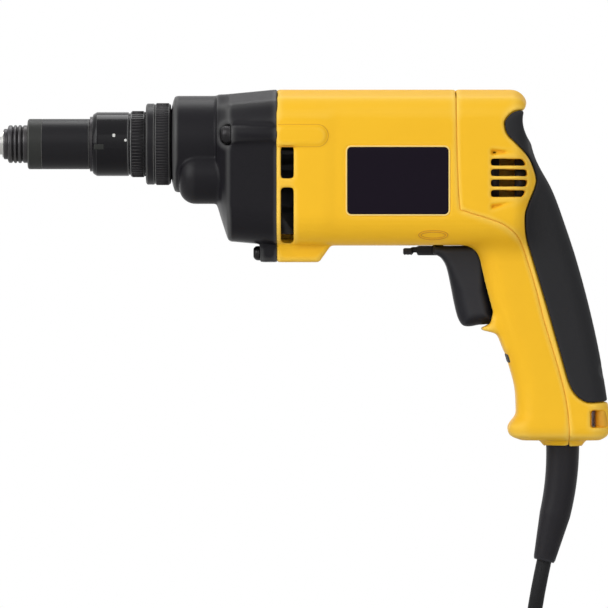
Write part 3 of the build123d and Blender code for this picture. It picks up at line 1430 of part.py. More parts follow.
# Armature: shaft with its pinion, core, windings, commutator and fan
rear_step_x = COMMUTATOR_FRONT_X + COMMUTATOR_LENGTH + AXIAL_GAP
with BuildPart() as armature_shaft:
    pinion = gear_outline(MODULE_1, MOTOR_PINION_TEETH, SHIFT_1, to_lay)
    gear(MOTOR, motor_pinion_x, MOTOR_PINION_FACE, pinion)
    turn(
        MOTOR,
        [
            (motor_pinion_x + MOTOR_PINION_FACE, 0),
            (motor_pinion_x + MOTOR_PINION_FACE, FRONT_JOURNAL_RADIUS),
            (JOINT_X + AXIAL_GAP, FRONT_JOURNAL_RADIUS),
            (JOINT_X + AXIAL_GAP, MOTOR_SHAFT_RADIUS),
            (CORE_FRONT_X, MOTOR_SHAFT_RADIUS),
            (CORE_FRONT_X, CORE_SEAT_RADIUS),
            (CORE_FRONT_X + CORE_LENGTH, CORE_SEAT_RADIUS),
            (CORE_FRONT_X + CORE_LENGTH, MOTOR_SHAFT_RADIUS),
            (rear_step_x, MOTOR_SHAFT_RADIUS),
            (rear_step_x, REAR_SHAFT_RADIUS),
            (bearing_rear_x, REAR_SHAFT_RADIUS),
            (bearing_rear_x, 0),
        ],
    )
save(armature_shaft, "armature_shaft")

with BuildPart() as armature_core:
    with BuildSketch(cross_plane(MOTOR, CORE_FRONT_X)) as lamination:
        Circle(CORE_RADIUS)
        Circle(CORE_SEAT_RADIUS + SEAT_FIT, mode=Mode.SUBTRACT)
        with PolarLocations(CORE_RADIUS - SLOT_DEPTH / 2, CORE_SLOTS):
            Rectangle(SLOT_DEPTH, SLOT_WIDTH, mode=Mode.SUBTRACT)
    extrude(amount=CORE_LENGTH)
save(armature_core, "armature_core")

with BuildPart() as armature_windings:
    winding_inner = CORE_SEAT_RADIUS + SLIDE_FIT
    for x in (CORE_FRONT_X - RUN_FIT - WINDING_END, core_rear_x + RUN_FIT):
        ring(MOTOR, x, x + WINDING_END, winding_inner, WINDING_OUTER)
    with BuildSketch(cross_plane(MOTOR, CORE_FRONT_X - AXIAL_GAP)) as bars:
        with PolarLocations(CORE_RADIUS - SLOT_DEPTH / 2, CORE_SLOTS):
            Rectangle(SLOT_DEPTH - 2 * SLIDE_FIT, SLOT_WIDTH - 2 * SLIDE_FIT)
    extrude(amount=CORE_LENGTH + 2 * AXIAL_GAP)
save(armature_windings, "armature_windings")

with BuildPart() as commutator:
    with BuildSketch(cross_plane(MOTOR, COMMUTATOR_FRONT_X)) as bars:
        Circle(COMMUTATOR_RADIUS)
        Circle(MOTOR_SHAFT_RADIUS + SEAT_FIT, mode=Mode.SUBTRACT)
        with PolarLocations(COMMUTATOR_RADIUS, COMMUTATOR_SLITS):
            Rectangle(2 * SLIT_DEPTH, SLIT_WIDTH, mode=Mode.SUBTRACT)
    extrude(amount=COMMUTATOR_LENGTH)
save(commutator, "commutator")

with BuildPart() as fan:
    fan_rear_x = FAN_FRONT_X + FAN_LENGTH
    ring(MOTOR, fan_rear_x - FAN_PLATE, fan_rear_x, 0, FAN_RADIUS)
    ring(MOTOR, FAN_FRONT_X, fan_rear_x, 0, FAN_HUB)
    with BuildSketch(cross_plane(MOTOR, FAN_FRONT_X)) as blades:
        with PolarLocations((FAN_HUB + FAN_RADIUS) / 2 - FAN_BLADE, FAN_BLADES):
            Rectangle(FAN_RADIUS - FAN_HUB, FAN_BLADE)
    extrude(amount=FAN_LENGTH - FAN_PLATE / 2)
    ring(MOTOR, FAN_FRONT_X, fan_rear_x, 0, MOTOR_SHAFT_RADIUS + SEAT_FIT, mode=Mode.SUBTRACT)
save(fan, "fan")

# Field: core with two poles, and a coil round each pole
pole_face = CORE_RADIUS + AIR_GAP
yoke_inner = FIELD_RADIUS - FIELD_YOKE
with BuildPart() as field_core:
    ring(MOTOR, CORE_FRONT_X, core_rear_x, yoke_inner, FIELD_RADIUS)
    for middle in (90, 270):
        pole = sector(cross_plane(MOTOR, CORE_FRONT_X), pole_face, yoke_inner + SLIDE_FIT, middle, POLE_ANGLE)
        extrude(pole, amount=CORE_LENGTH)
save(field_core, "field_core")

with BuildPart() as field_coils:
    coil_start = CORE_FRONT_X - COIL_END
    coil_width = POLE_ANGLE + 2 * COIL_SIDE_ANGLE
    window_width = POLE_ANGLE + math.degrees(2 * COIL_CLEAR / pole_face)
    for middle in (90, 270):
        coil_plane = cross_plane(MOTOR, coil_start)
        saddle = sector(coil_plane, pole_face + COIL_CLEAR, yoke_inner - COIL_CLEAR, middle, coil_width)
        extrude(saddle, amount=CORE_LENGTH + 2 * COIL_END)
        window_plane = cross_plane(MOTOR, CORE_FRONT_X - COIL_CLEAR)
        window = sector(window_plane, pole_face, yoke_inner, middle, window_width)
        extrude(window, amount=CORE_LENGTH + 2 * COIL_CLEAR, mode=Mode.SUBTRACT)
save(field_coils, "field_coils")

with BuildPart() as fan_baffle:
    barrel(BARREL_WALL + PART_GAP, BAFFLE_X, BAFFLE_X + BAFFLE_THICK)
    ring(MOTOR, BAFFLE_X, BAFFLE_X + BAFFLE_THICK, 0, BAFFLE_HOLE, mode=Mode.SUBTRACT)
    for side in (-1, 1):
        ridge_room = CASE_RIDGE_RADIUS + PART_GAP
        baffle_rear = BAFFLE_X + BAFFLE_THICK
        bar(side * CASE_SCREW_Y, CASE_SCREW_Z, BAFFLE_X, baffle_rear, ridge_room, mode=Mode.SUBTRACT)
save(fan_baffle, "fan_baffle")

# Brushes in their holders
brush_start = COMMUTATOR_RADIUS + RUN_FIT
brush_end = brush_start + BRUSH_LENGTH
with BuildPart() as brush_holders:
    for side in (-1, 1):
        block(
            brush_x - holder_half_x,
            brush_x + holder_half_x,
            min(side * HOLDER_START, side * HOLDER_END),
            max(side * HOLDER_START, side * HOLDER_END),
            MOTOR_Z - holder_half_z,
            MOTOR_Z + holder_half_z,
        )
        block(
            brush_x - BRUSH_LONG / 2 - SLIDE_FIT,
            brush_x + BRUSH_LONG / 2 + SLIDE_FIT,
            min(side * HOLDER_START, side * (HOLDER_END - HOLDER_WALL)),
            max(side * HOLDER_START, side * (HOLDER_END - HOLDER_WALL)),
            MOTOR_Z - BRUSH_WIDE / 2 - SLIDE_FIT,
            MOTOR_Z + BRUSH_WIDE / 2 + SLIDE_FIT,
            mode=Mode.SUBTRACT,
        )
save(brush_holders, "brush_holders")

with BuildPart() as carbon_brushes:
    for side in (-1, 1):
        block(
            brush_x - BRUSH_LONG / 2,
            brush_x + BRUSH_LONG / 2,
            min(side * brush_start, side * brush_end),
            max(side * brush_start, side * brush_end),
            MOTOR_Z - BRUSH_WIDE / 2,
            MOTOR_Z + BRUSH_WIDE / 2,
        )
save(carbon_brushes, "carbon_brushes")

with BuildPart() as brush_springs:
    for side in (-1, 1):
        spring_end = (brush_x, side * (brush_end + RUN_FIT), MOTOR_Z)
        end = Plane(origin=spring_end, x_dir=(1, 0, 0), z_dir=(0, side, 0))
        coil_spring(
            end,
            HOLDER_END - HOLDER_WALL - brush_end - 2 * RUN_FIT,
            BRUSH_SPRING_RADIUS,
            BRUSH_SPRING_WIRE,
            BRUSH_SPRING_TURNS,
        )
save(brush_springs, "brush_springs")

# Switch, trigger and its return spring
switch_half = HANDLE_TOP[5][3] - HANDLE_WALL - AXIAL_GAP
stem_end = TRIGGER_SPRING_X + STEM_LENGTH
lever_top = BARREL_BOTTOM - LEVER_GAP
lever_bottom = lever_top - LEVER_THICK
with BuildPart() as trigger:
    with BuildSketch(Plane.XZ) as blade:
        with BuildLine():
            front_edge = Spline(*TRIGGER_FRONT)
            Polyline(
                front_edge @ 1,
                TRIGGER_HEEL,
                TRIGGER_REAR,
                (TRIGGER_BACK_X, TRIGGER_TOP),
                (TRIGGER_FRONT[0][0], TRIGGER_TOP),
                front_edge @ 0,
            )
        make_face()
    extrude(blade.sketch, amount=TRIGGER_HALF_WIDTH, both=True)
    sides = trigger.faces().sort_by(Axis.Y)
    fillet(sides[0].edges() + sides[-1].edges(), TRIGGER_ROUND)
    block(
        TRIGGER_FRONT[0][0],
        FORK_REAR_X,
        -FORK_HALF_WIDTH,
        FORK_HALF_WIDTH,
        lever_bottom - LEVER_GAP,
        TRIGGER_TOP,
        mode=Mode.SUBTRACT,
    )
    pocket_x = TRIGGER_SPRING_X - RUN_FIT
    bar(0, STEM_Z, pocket_x, SWITCH_FRONT_X, SPRING_POCKET_RADIUS, mode=Mode.SUBTRACT)
    bar(0, STEM_Z, TRIGGER_BACK_X, stem_end, STEM_RADIUS)
save(trigger, "trigger")

with BuildPart() as switch_body:
    with BuildSketch(Plane.XY.offset(SWITCH_BOTTOM_Z)) as case:
        with Locations((SWITCH_FRONT_X + SWITCH_LENGTH / 2, 0)):
            RectangleRounded(SWITCH_LENGTH, 2 * switch_half, SWITCH_CORNER)
    extrude(amount=SWITCH_HEIGHT)
    bar(
        0,
        STEM_Z,
        SWITCH_FRONT_X,
        stem_end + TRIGGER_TRAVEL + AXIAL_GAP,
        STEM_RADIUS + SLIDE_FIT,
        mode=Mode.SUBTRACT,
    )
save(switch_body, "switch_body")

with BuildPart() as trigger_spring:
    spring_length = SWITCH_FRONT_X - TRIGGER_SPRING_X
    coil_spring(
        Plane(origin=(TRIGGER_SPRING_X, 0, STEM_Z), x_dir=(0, 1, 0), z_dir=(1, 0, 0)),
        spring_length - RUN_FIT,
        TRIGGER_SPRING_RADIUS,
        TRIGGER_SPRING_WIRE,
        TRIGGER_SPRING_TURNS,
    )
save(trigger_spring, "trigger_spring")

# Reversing lever under the barrel, on an upright pin
with BuildPart() as reverse_lever:
    with BuildSketch(Plane.XY.offset(lever_bottom)) as lever:
        with Locations(((LEVER_TIP_X + LEVER_TAB_LENGTH + LEVER_PIVOT_X) / 2, 0)):
            Rectangle(LEVER_PIVOT_X - LEVER_TIP_X - LEVER_TAB_LENGTH, 2 * LEVER_HALF_WIDTH)
        with Locations((LEVER_PIVOT_X, 0)):
            Circle(LEVER_HALF_WIDTH)
        with Locations((LEVER_TIP_X + LEVER_TAB_LENGTH / 2, 0)):
            RectangleRounded(LEVER_TAB_LENGTH + SLIDE_FIT, 2 * LEVER_TAB_HALF_WIDTH, LEVER_TAB_ROUND)
    extrude(amount=LEVER_THICK)
    head_z = BARREL_BOTTOM + BARREL_WALL + LEVER_GAP
    post(LEVER_PIVOT_X, 0, lever_top, head_z, LEVER_PIN_RADIUS)
    post(LEVER_PIVOT_X, 0, head_z, head_z + LEVER_HEAD, LEVER_HEAD_RADIUS)
save(reverse_lever, "reverse_lever")

# Strain relief, cord clamp and lead wires
with BuildPart() as strain_relief:
    stations = [
        (0, BOOT_RADIUS),
        (BOOT_ARC_LENGTH / 2, (BOOT_RADIUS + BOOT_MID_RADIUS) / 2),
        (BOOT_ARC_LENGTH, BOOT_MID_RADIUS),
        (BOOT_LENGTH, BOOT_END_RADIUS),
    ]
    outer_faces = []
    inner_faces = []
    for distance, radius in stations:
        with BuildSketch(boot_path(distance)) as outer_circle:
            Circle(radius)
        with BuildSketch(boot_path(distance)) as inner_circle:
            Circle(cord_room)
        outer_faces.append(outer_circle.sketch.face())
        inner_faces.append(inner_circle.sketch.face())
    loft(outer_faces)
    loft(inner_faces, mode=Mode.SUBTRACT)
    with BuildSketch(Plane.XY.offset(HUB_BOTTOM_Z)) as neck:
        with Locations((CORD_X, 0)):
            Circle(BOOT_RADIUS)
            Circle(cord_room, mode=Mode.SUBTRACT)
    extrude(neck.sketch, amount=flange_low_z - HUB_BOTTOM_Z)
    with BuildSketch(Plane.XY.offset(flange_low_z)) as flange:
        with Locations((CORD_X, 0)):
            Circle(BOOT_FLANGE_RADIUS)
            Circle(cord_room, mode=Mode.SUBTRACT)
    extrude(flange.sketch, amount=BOOT_FLANGE)
save(strain_relief, "strain_relief")

clamp_top = CAVITY_FLOOR_Z + CLAMP_THICK
clamp_seat = clamp_top - CLAMP_HEAD_HEIGHT
with BuildPart() as cord_clamp:
    block(CLAMP_FRONT_X, CLAMP_REAR_X, -CLAMP_HALF_WIDTH, CLAMP_HALF_WIDTH, CAVITY_FLOOR_Z, clamp_top)
    post(CORD_X, 0, CAVITY_FLOOR_Z, clamp_top, cord_room, mode=Mode.SUBTRACT)
    for side in (-1, 1):
        shank_room = CLAMP_SCREW_RADIUS + SLIDE_FIT
        head_room = CLAMP_SCREW_HEAD + SLIDE_FIT
        y = side * CLAMP_SCREW_Y
        post(CLAMP_SCREW_X, y, CAVITY_FLOOR_Z, clamp_top, shank_room, mode=Mode.SUBTRACT)
        post(CLAMP_SCREW_X, y, clamp_seat, clamp_top, head_room, mode=Mode.SUBTRACT)
save(cord_clamp, "cord_clamp")

with BuildPart() as cord_clamp_screws:
    for side in (-1, 1):
        tip_z = CAVITY_FLOOR_Z - CLAMP_SCREW_LENGTH + AXIAL_GAP
        post(CLAMP_SCREW_X, side * CLAMP_SCREW_Y, tip_z, clamp_top, CLAMP_SCREW_RADIUS)
        post(CLAMP_SCREW_X, side * CLAMP_SCREW_Y, clamp_seat, clamp_top, CLAMP_SCREW_HEAD)
save(cord_clamp_screws, "cord_clamp_screws")

with BuildPart() as lead_wires:
    for side in (-1, 1):
        post(WIRE_X, side * WIRE_Y, CORD_TOP_Z + RUN_FIT, SWITCH_BOTTOM_Z - RUN_FIT, WIRE_RADIUS)
save(lead_wires, "lead_wires")

# Mains lead: out of the base, down through the strain relief and into the tied coil
boot_lean = BOOT_ARC_LENGTH / BOOT_BEND_RADIUS
boot_knee = HUB_BOTTOM_Z - BOOT_BEND_RADIUS * math.tan(boot_lean / 2)
cord_route = [
    (CORD_X, 0, CORD_TOP_Z),
    (CORD_X, 0, boot_knee),
    (CORD_X - CORD_LEAN_RUN * math.sin(boot_lean), 0, boot_knee - CORD_LEAN_RUN * math.cos(boot_lean)),
] + CORD_FALL


def bend_radii(points):
    """Radius at each inner point, from the shorter of its two runs and its turn."""
    radii = []
    for before, here, after in zip(points, points[1:], points[2:]):
        run_in = Vector(*here) - Vector(*before)
        run_out = Vector(*after) - Vector(*here)
        half_turn = math.radians(run_in.get_angle(run_out)) / 2
        radii.append(BEND_SHARE * min(run_in.length, run_out.length) / math.tan(half_turn))
    return radii


cord_radii = bend_radii(cord_route)
cord_radii[0] = BOOT_BEND_RADIUS
print("cord radii", [round(r, 1) for r in cord_radii])
with BuildPart() as power_cord:
    with BuildLine() as route:
        FilletPolyline(*cord_route, radius=cord_radii)
    with BuildSketch(Plane(origin=route.line @ 0, z_dir=route.line % 0)):
        Circle(CORD_RADIUS)
    sweep(path=route.line)
cord_length = sum(edge.length for edge in route.edges())
cord_volume = math.pi * CORD_RADIUS**2 * cord_length
print("cord volume against section times length", round(power_cord.part.volume / cord_volume, 4))
save(power_cord, "power_cord")

coil_bottom = FLOOR_Z + TIE_THICK
coil_top = coil_bottom + COIL_HEIGHT
with BuildPart() as cord_coil:
    with BuildSketch(Plane.XZ.offset(-COIL_Y)) as bundle:
        with Locations((COIL_X + (COIL_INNER + COIL_OUTER) / 2, (coil_bottom + coil_top) / 2)):
            RectangleRounded(COIL_OUTER - COIL_INNER, COIL_HEIGHT, COIL_ROUND)
    revolve(axis=Axis((COIL_X, COIL_Y, 0), (0, 0, 1)))
save(cord_coil, "cord_coil")

with BuildPart() as cord_tie:
    inner_x = COIL_X - COIL_INNER + TIE_SLACK
    outer_x = COIL_X - COIL_OUTER - PART_GAP
    half_tie = TIE_WIDTH / 2
    top_z = coil_top + PART_GAP
    bottom_z = coil_bottom - PART_GAP
    block(
        outer_x - TIE_THICK,
        inner_x + TIE_THICK,
        COIL_Y - half_tie,
        COIL_Y + half_tie,
        bottom_z - TIE_THICK + PART_GAP,
        top_z + TIE_THICK,
    )
    block(outer_x, inner_x, COIL_Y - half_tie, COIL_Y + half_tie, bottom_z, top_z, mode=Mode.SUBTRACT)
save(cord_tie, "cord_tie")

# Tail of the lead and its plug
tail_y = COIL_Y - COIL_OUTER + CORD_RADIUS
tail_z = coil_top - CORD_RADIUS
plug_front = PLUG_X + PLUG_LENGTH
with BuildPart() as cord_tail:
    bar(tail_y, tail_z, COIL_X, PLUG_X, CORD_RADIUS)
save(cord_tail, "cord_tail")

with BuildPart() as plug_body:
    plug_height = 2 * (tail_z - FLOOR_Z)
    with BuildSketch(Plane.YZ.offset(PLUG_X)) as small_end:
        with Locations((tail_y, tail_z)):
            RectangleRounded(PLUG_NECK, PLUG_NECK, PLUG_ROUND)
    with BuildSketch(Plane.YZ.offset(PLUG_X + PLUG_NECK)) as large_end:
        with Locations((tail_y, tail_z)):
            RectangleRounded(PLUG_WIDTH, plug_height, PLUG_ROUND)
    loft([small_end.sketch.face(), large_end.sketch.face()], ruled=True)
    extrude(large_end.sketch, amount=PLUG_LENGTH - PLUG_NECK)
    for side in (-1, 1):
        blade_y = tail_y + side * BLADE_PITCH / 2
        block(
            plug_front - BLADE_ROOT,
            plug_front,
            blade_y - BLADE_THICK / 2 - SEAT_FIT,
            blade_y + BLADE_THICK / 2 + SEAT_FIT,
            tail_z - BLADE_WIDTH / 2 - SEAT_FIT,
            tail_z + BLADE_WIDTH / 2 + SEAT_FIT,
            mode=Mode.SUBTRACT,
        )
save(plug_body, "plug_body")

with BuildPart() as plug_blades:
    for side in (-1, 1):
        blade_y = tail_y + side * BLADE_PITCH / 2
        block(
            plug_front - BLADE_ROOT,
            plug_front + BLADE_LENGTH,
            blade_y - BLADE_THICK / 2,
            blade_y + BLADE_THICK / 2,
            tail_z - BLADE_WIDTH / 2,
            tail_z + BLADE_WIDTH / 2,
        )
save(plug_blades, "plug_blades")
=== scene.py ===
import logging
import math
from dataclasses import dataclass
from enum import Enum
from functools import partial, reduce
from itertools import product
from typing import Any, Callable, Sequence

import bmesh
import bpy
import numpy as np
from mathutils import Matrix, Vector


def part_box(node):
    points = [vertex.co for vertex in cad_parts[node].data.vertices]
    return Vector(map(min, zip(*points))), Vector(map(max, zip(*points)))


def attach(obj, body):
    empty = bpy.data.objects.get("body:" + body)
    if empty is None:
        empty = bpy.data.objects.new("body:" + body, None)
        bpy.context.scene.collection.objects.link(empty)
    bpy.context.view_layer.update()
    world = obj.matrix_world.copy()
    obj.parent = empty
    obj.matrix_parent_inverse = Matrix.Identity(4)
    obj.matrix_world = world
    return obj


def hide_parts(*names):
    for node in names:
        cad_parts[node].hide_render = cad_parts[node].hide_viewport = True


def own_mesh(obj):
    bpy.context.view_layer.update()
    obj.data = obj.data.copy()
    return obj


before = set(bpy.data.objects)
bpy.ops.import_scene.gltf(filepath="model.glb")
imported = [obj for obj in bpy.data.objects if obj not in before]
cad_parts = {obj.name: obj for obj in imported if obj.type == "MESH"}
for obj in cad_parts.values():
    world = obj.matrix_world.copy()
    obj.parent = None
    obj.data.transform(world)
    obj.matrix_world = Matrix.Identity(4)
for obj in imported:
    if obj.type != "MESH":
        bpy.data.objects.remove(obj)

# Dresses a corded pistol-grip electric screwdriver: moulded yellow shells with a rubber grip, a black gear
# case, a turned nose with its clutch collar, a trigger, and the mains lead with its coil and plug.
# Sizes are millimetres in the frame of the model: nose toward -X, +Z up, the left side toward -Y.

MM = 0.001
LOG = logging.getLogger("screwdriver")

Point = tuple[float, float]
Place = tuple[float, float, float]
Colour = tuple[float, float, float]
Piece = bpy.types.Object
Placing = Callable[[np.ndarray, np.ndarray, float], np.ndarray]

SPINDLE_Z = 91.3
MOTOR_Z = 78.8
JOINT_X = -138.5
JOINT_LAP = 0.25
SEAM_LAP = 0.1
BARREL_HALF_WIDTH = 36.0
BARREL_HALF_HEIGHT = 40.59
BARREL_CORNER = 17.0
BARREL_WALL = 3.0
FLARE = ((-200.0, 0.7), (-115.0, 0.7), (-106.0, 0.0), (60.0, 0.0))
RIDGE_Y = 33.0
RIDGE_Z = 95.3
RIDGE_RADIUS = 5.2
CASE_SCREW_SEAT_X = -162.5
LUG_SCREW_Y = 14.0
LUG_SCREW_Z = 34.0
LUG_SEAT_X = -147.5
LUG_HALF_WIDTH = 20.5
LUG_BOTTOM_Z = 29.4
LUG_ROUND = 2.0
LEVER_PIVOT_X = -54.0
COVER_SCREW_TOP = (0.0, 108.0)
COVER_SCREW_LOW = (10.5, -28.0)
COVER_SEAT_TOP_X = -20.0
COVER_SEAT_LOW_X = 25.0
CORD_X = 11.4
HUB_BOTTOM_Z = -68.4

# The mesh attribute of edge values, what turns an edge's angle into one, and the middle of a noise value
EDGE = "edge"
EDGE_GAIN = 0.9
NOISE_MIDDLE = 0.5

# Largest share of a side that a rounded corner takes, and the points of a panel's corner
ARC_SHARE = 0.45
CORNER_POINTS = 7

# Fields: a distance past any other, a length too small to count, and the samples added round a field with
# their value
FAR = 1e9
TINY = 1e-12
PAD = 2
PAD_VALUE = 5.0

# Weights of a sample and its two neighbours where a field is averaged
AVERAGE = (0.25, 0.5, 0.25)

# Skins: how often points are pulled onto the surface, the flattest slope and the longest pull that count, and
# how often a field is evened out before its bend is measured
PULLS = 2
LEAST_SLOPE = 0.05
LONGEST_PULL = 0.4
BEND_PASSES = 2


# Nodes of materials and of grown rows


class Flow:
    """A node's output that takes part in sums, each sum adding one Math node."""

    def __init__(self, board: "Board", socket: bpy.types.NodeSocket) -> None:
        """Keep the tree and the socket that this value comes from."""
        self.board = board
        self.socket = socket

    def sum_with(self, operation: str, first: Any, second: Any = 0.0, clamp: bool = False) -> "Flow":
        """Add one Math node.

        Args:
            operation: the Math node's operation.
            first: number or Flow for the first input.
            second: number or Flow for the second input.
            clamp: whether the result stays between 0 and 1.

        Returns:
            The result as a Flow.
        """
        settings = {"operation": operation, "use_clamp": clamp}
        return self.board.out(self.board.add("ShaderNodeMath", settings, {0: first, 1: second}), 0)

    def __add__(self, other: Any) -> "Flow":
        """Sum with a number or Flow."""
        return self.sum_with("ADD", self, other)

    def __radd__(self, other: Any) -> "Flow":
        """Sum with a number on the left."""
        return self.sum_with("ADD", other, self)

    def __sub__(self, other: Any) -> "Flow":
        """Difference from a number or Flow."""
        return self.sum_with("SUBTRACT", self, other)

    def __rsub__(self, other: Any) -> "Flow":
        """Difference of a number and this value."""
        return self.sum_with("SUBTRACT", other, self)

    def __mul__(self, other: Any) -> "Flow":
        """Product with a number or Flow."""
        return self.sum_with("MULTIPLY", self, other)

    def __rmul__(self, other: Any) -> "Flow":
        """Product with a number on the left."""
        return self.sum_with("MULTIPLY", other, self)

    def held(self) -> "Flow":
        """This value, kept between 0 and 1."""
        return self.sum_with("ADD", self, 0.0, clamp=True)


class Board:
    """A node tree that is being filled in."""

    def __init__(self, tree: bpy.types.NodeTree) -> None:
        """Start on an empty tree."""
        self.tree = tree
        tree.nodes.clear()

    def feed(self, socket: bpy.types.NodeSocket, value: Any) -> None:
        """Link or set one input.

        Args:
            socket: the input.
            value: a Flow or a socket to link, or else what to set.
        """
        if isinstance(value, Flow):
            value = value.socket
        if isinstance(value, bpy.types.NodeSocket):
            self.tree.links.new(value, socket)
        else:
            socket.default_value = value

    def add(self, kind: str, settings: dict[str, Any] | None = None,
            inputs: dict[Any, Any] | None = None) -> bpy.types.Node:
        """Make one node.

        Args:
            kind: the node's type name.
            settings: properties of the node, set before its sockets.
            inputs: sockets by name or place, each with a value, a Flow or a socket to link.

        Returns:
            The new node.
        """
        node = self.tree.nodes.new(kind)
        for name, value in (settings or {}).items():
            setattr(node, name, value)
        for name, value in (inputs or {}).items():
            self.feed(node.inputs[name], value)
        return node

    def out(self, node: bpy.types.Node, name: str | int) -> Flow:
        """A node's output as a Flow."""
        return Flow(self, node.outputs[name])


class PaintBoard(Board):
    """The node tree of one surface finish."""

    def __init__(self, name: str) -> None:
        """Make a material with one Principled shader.

        Args:
            name: the material's name.
        """
        self.material = bpy.data.materials.new(name)
        self.material.use_nodes = True
        super().__init__(self.material.node_tree)
        self.shader = self.add("ShaderNodeBsdfPrincipled")
        self.output = self.add("ShaderNodeOutputMaterial", {}, {"Surface": self.shader.outputs[0]})
        self.place = self.out(self.add("ShaderNodeTexCoord"), "Object")

    def set(self, **values: Any) -> None:
        """Set or link sockets of the shader, with _ for a space in a name."""
        for name, value in values.items():
            self.feed(self.shader.inputs[name.replace("_", " ")], value)

    def speckle(self, scale: float, detail: float = 2.0, stretch: Place = (1, 1, 1)) -> Flow:
        """Noise over the piece.

        Args:
            scale: grains for each metre.
            detail: octaves of noise.
            stretch: factors on the three axes, small along the way that marks run.

        Returns:
            A value about 0.5.
        """
        mapped = self.add("ShaderNodeMapping", {}, {"Vector": self.place, "Scale": stretch})
        inputs = {"Vector": mapped.outputs[0], "Scale": scale, "Detail": detail}
        return self.out(self.add("ShaderNodeTexNoise", {}, inputs), 0)

    def attribute(self, name: str) -> Flow:
        """A value that the mesh carries at each vertex, 0 where it has none."""
        return self.out(self.add("ShaderNodeAttribute", {"attribute_name": name}), "Fac")

    def blend(self, share: Any, first: Any, second: Any) -> Flow:
        """Colour between two colours.

        Args:
            share: how much of the second shows, 0 to 1.
            first: colour or Flow.
            second: colour or Flow.

        Returns:
            The mixed colour.
        """
        colours = [c if isinstance(c, Flow) else (*c, 1.0) for c in (first, second)]
        # Sockets 6 and 7 of a Mix node are its two colours, and its third output is the mixed one
        node = self.add("ShaderNodeMix", {"data_type": "RGBA"}, {0: share, 6: colours[0], 7: colours[1]})
        return self.out(node, 2)

    def relief(self, height: Flow, depth: float) -> Flow:
        """Surface direction from a height, with the millimetres between its 0 and 1."""
        return self.out(self.add("ShaderNodeBump", {}, {"Height": height, "Distance": depth * MM}), 0)


@dataclass(frozen=True)
class Moulded:
    """A moulded or painted surface: fine grain, random tone, a pale painted highlight mixed with rubbing on
    convex edges, and painted shade in hollows.
    """

    name: str
    colour: Colour
    # pale is the colour of the painted highlight and rubbing on edges; deep is the random darker tone and the
    # painted shade in hollows
    pale: Colour
    deep: Colour
    rough: float
    grain: float = 1500.0
    depth: float = 0.03
    specular: float = 0.3
    sheen_and_wear: float = 0.6
    cloud_scale: float = 28.0
    octaves: float = 3.0
    edge_start: float = 0.1
    lit_and_rubbed_edge_gain: float = 2.2
    lit_and_rubbed_edge_drift: float = 0.3
    hollow_shade_gain: float = 2.0
    hollow_shade: float = 0.6
    tone_gain: float = 0.9
    tone_start: float = 0.2
    tone: float = 0.2
    rough_drift: float = 0.1
    rough_grain: float = 0.12

    def material(self) -> bpy.types.Material:
        """Build the node material.

        Returns:
            The material.
        """
        paint = PaintBoard(self.name)
        cloud = paint.speckle(self.cloud_scale, self.octaves)
        fine = paint.speckle(self.grain, self.octaves)
        edge = paint.attribute(EDGE)
        drift = cloud - NOISE_MIDDLE
        # Pale on convex edges: a painted highlight, partly real rubbing, varied by the cloud noise
        lit_and_rubbed_edge = ((edge - self.edge_start) * self.lit_and_rubbed_edge_gain + drift * self.lit_and_rubbed_edge_drift).held()
        # Painted shade: the deep colour where the edge value falls below 0, in creases, seams and recesses
        hollow = ((edge * -1.0 - self.edge_start) * self.hollow_shade_gain).held()
        tone = (cloud * self.tone_gain - self.tone_start).held() * self.tone
        toned = paint.blend(tone, self.colour, self.deep)
        hollow_shaded = paint.blend(hollow * self.hollow_shade, toned, self.deep)
        paint.set(
            Base_Color=paint.blend(lit_and_rubbed_edge * self.sheen_and_wear, hollow_shaded, self.pale),
            Roughness=self.rough + drift * self.rough_drift + (fine - NOISE_MIDDLE) * self.rough_grain,
            Normal=paint.relief(fine, self.depth),
            Specular_IOR_Level=self.specular,
        )
        return paint.material


@dataclass(frozen=True)
class Metal:
    """Bare or blackened metal with tool marks."""

    name: str
    colour: Colour
    tint: Colour
    rough: float
    marks: Place = (1.0, 0.04, 0.04)
    scale: float = 1400.0
    depth: float = 0.01
    bare: float = 0.5
    bare_colour: Colour = (0.6, 0.6, 0.6)
    cloud_scale: float = 60.0
    octaves: Point = (3.0, 2.0)
    stain_gain: float = 1.6
    stain_start: float = 0.5
    rough_marks: float = 0.25
    rough_drift: float = 0.1

    def material(self) -> bpy.types.Material:
        """Build the node material.

        Returns:
            The material.
        """
        paint = PaintBoard(self.name)
        cloud = paint.speckle(self.cloud_scale, self.octaves[0])
        cut_marks = paint.speckle(self.scale, self.octaves[1], self.marks)
        stain = paint.blend((cloud * self.stain_gain - self.stain_start).held(), self.colour, self.tint)
        rough = (cut_marks - NOISE_MIDDLE) * self.rough_marks + (cloud - NOISE_MIDDLE) * self.rough_drift
        paint.set(
            Base_Color=paint.blend((paint.attribute(EDGE) * self.bare).held(), stain, self.bare_colour),
            Metallic=1.0,
            Roughness=self.rough + rough,
            Normal=paint.relief(cut_marks, self.depth),
        )
        return paint.material


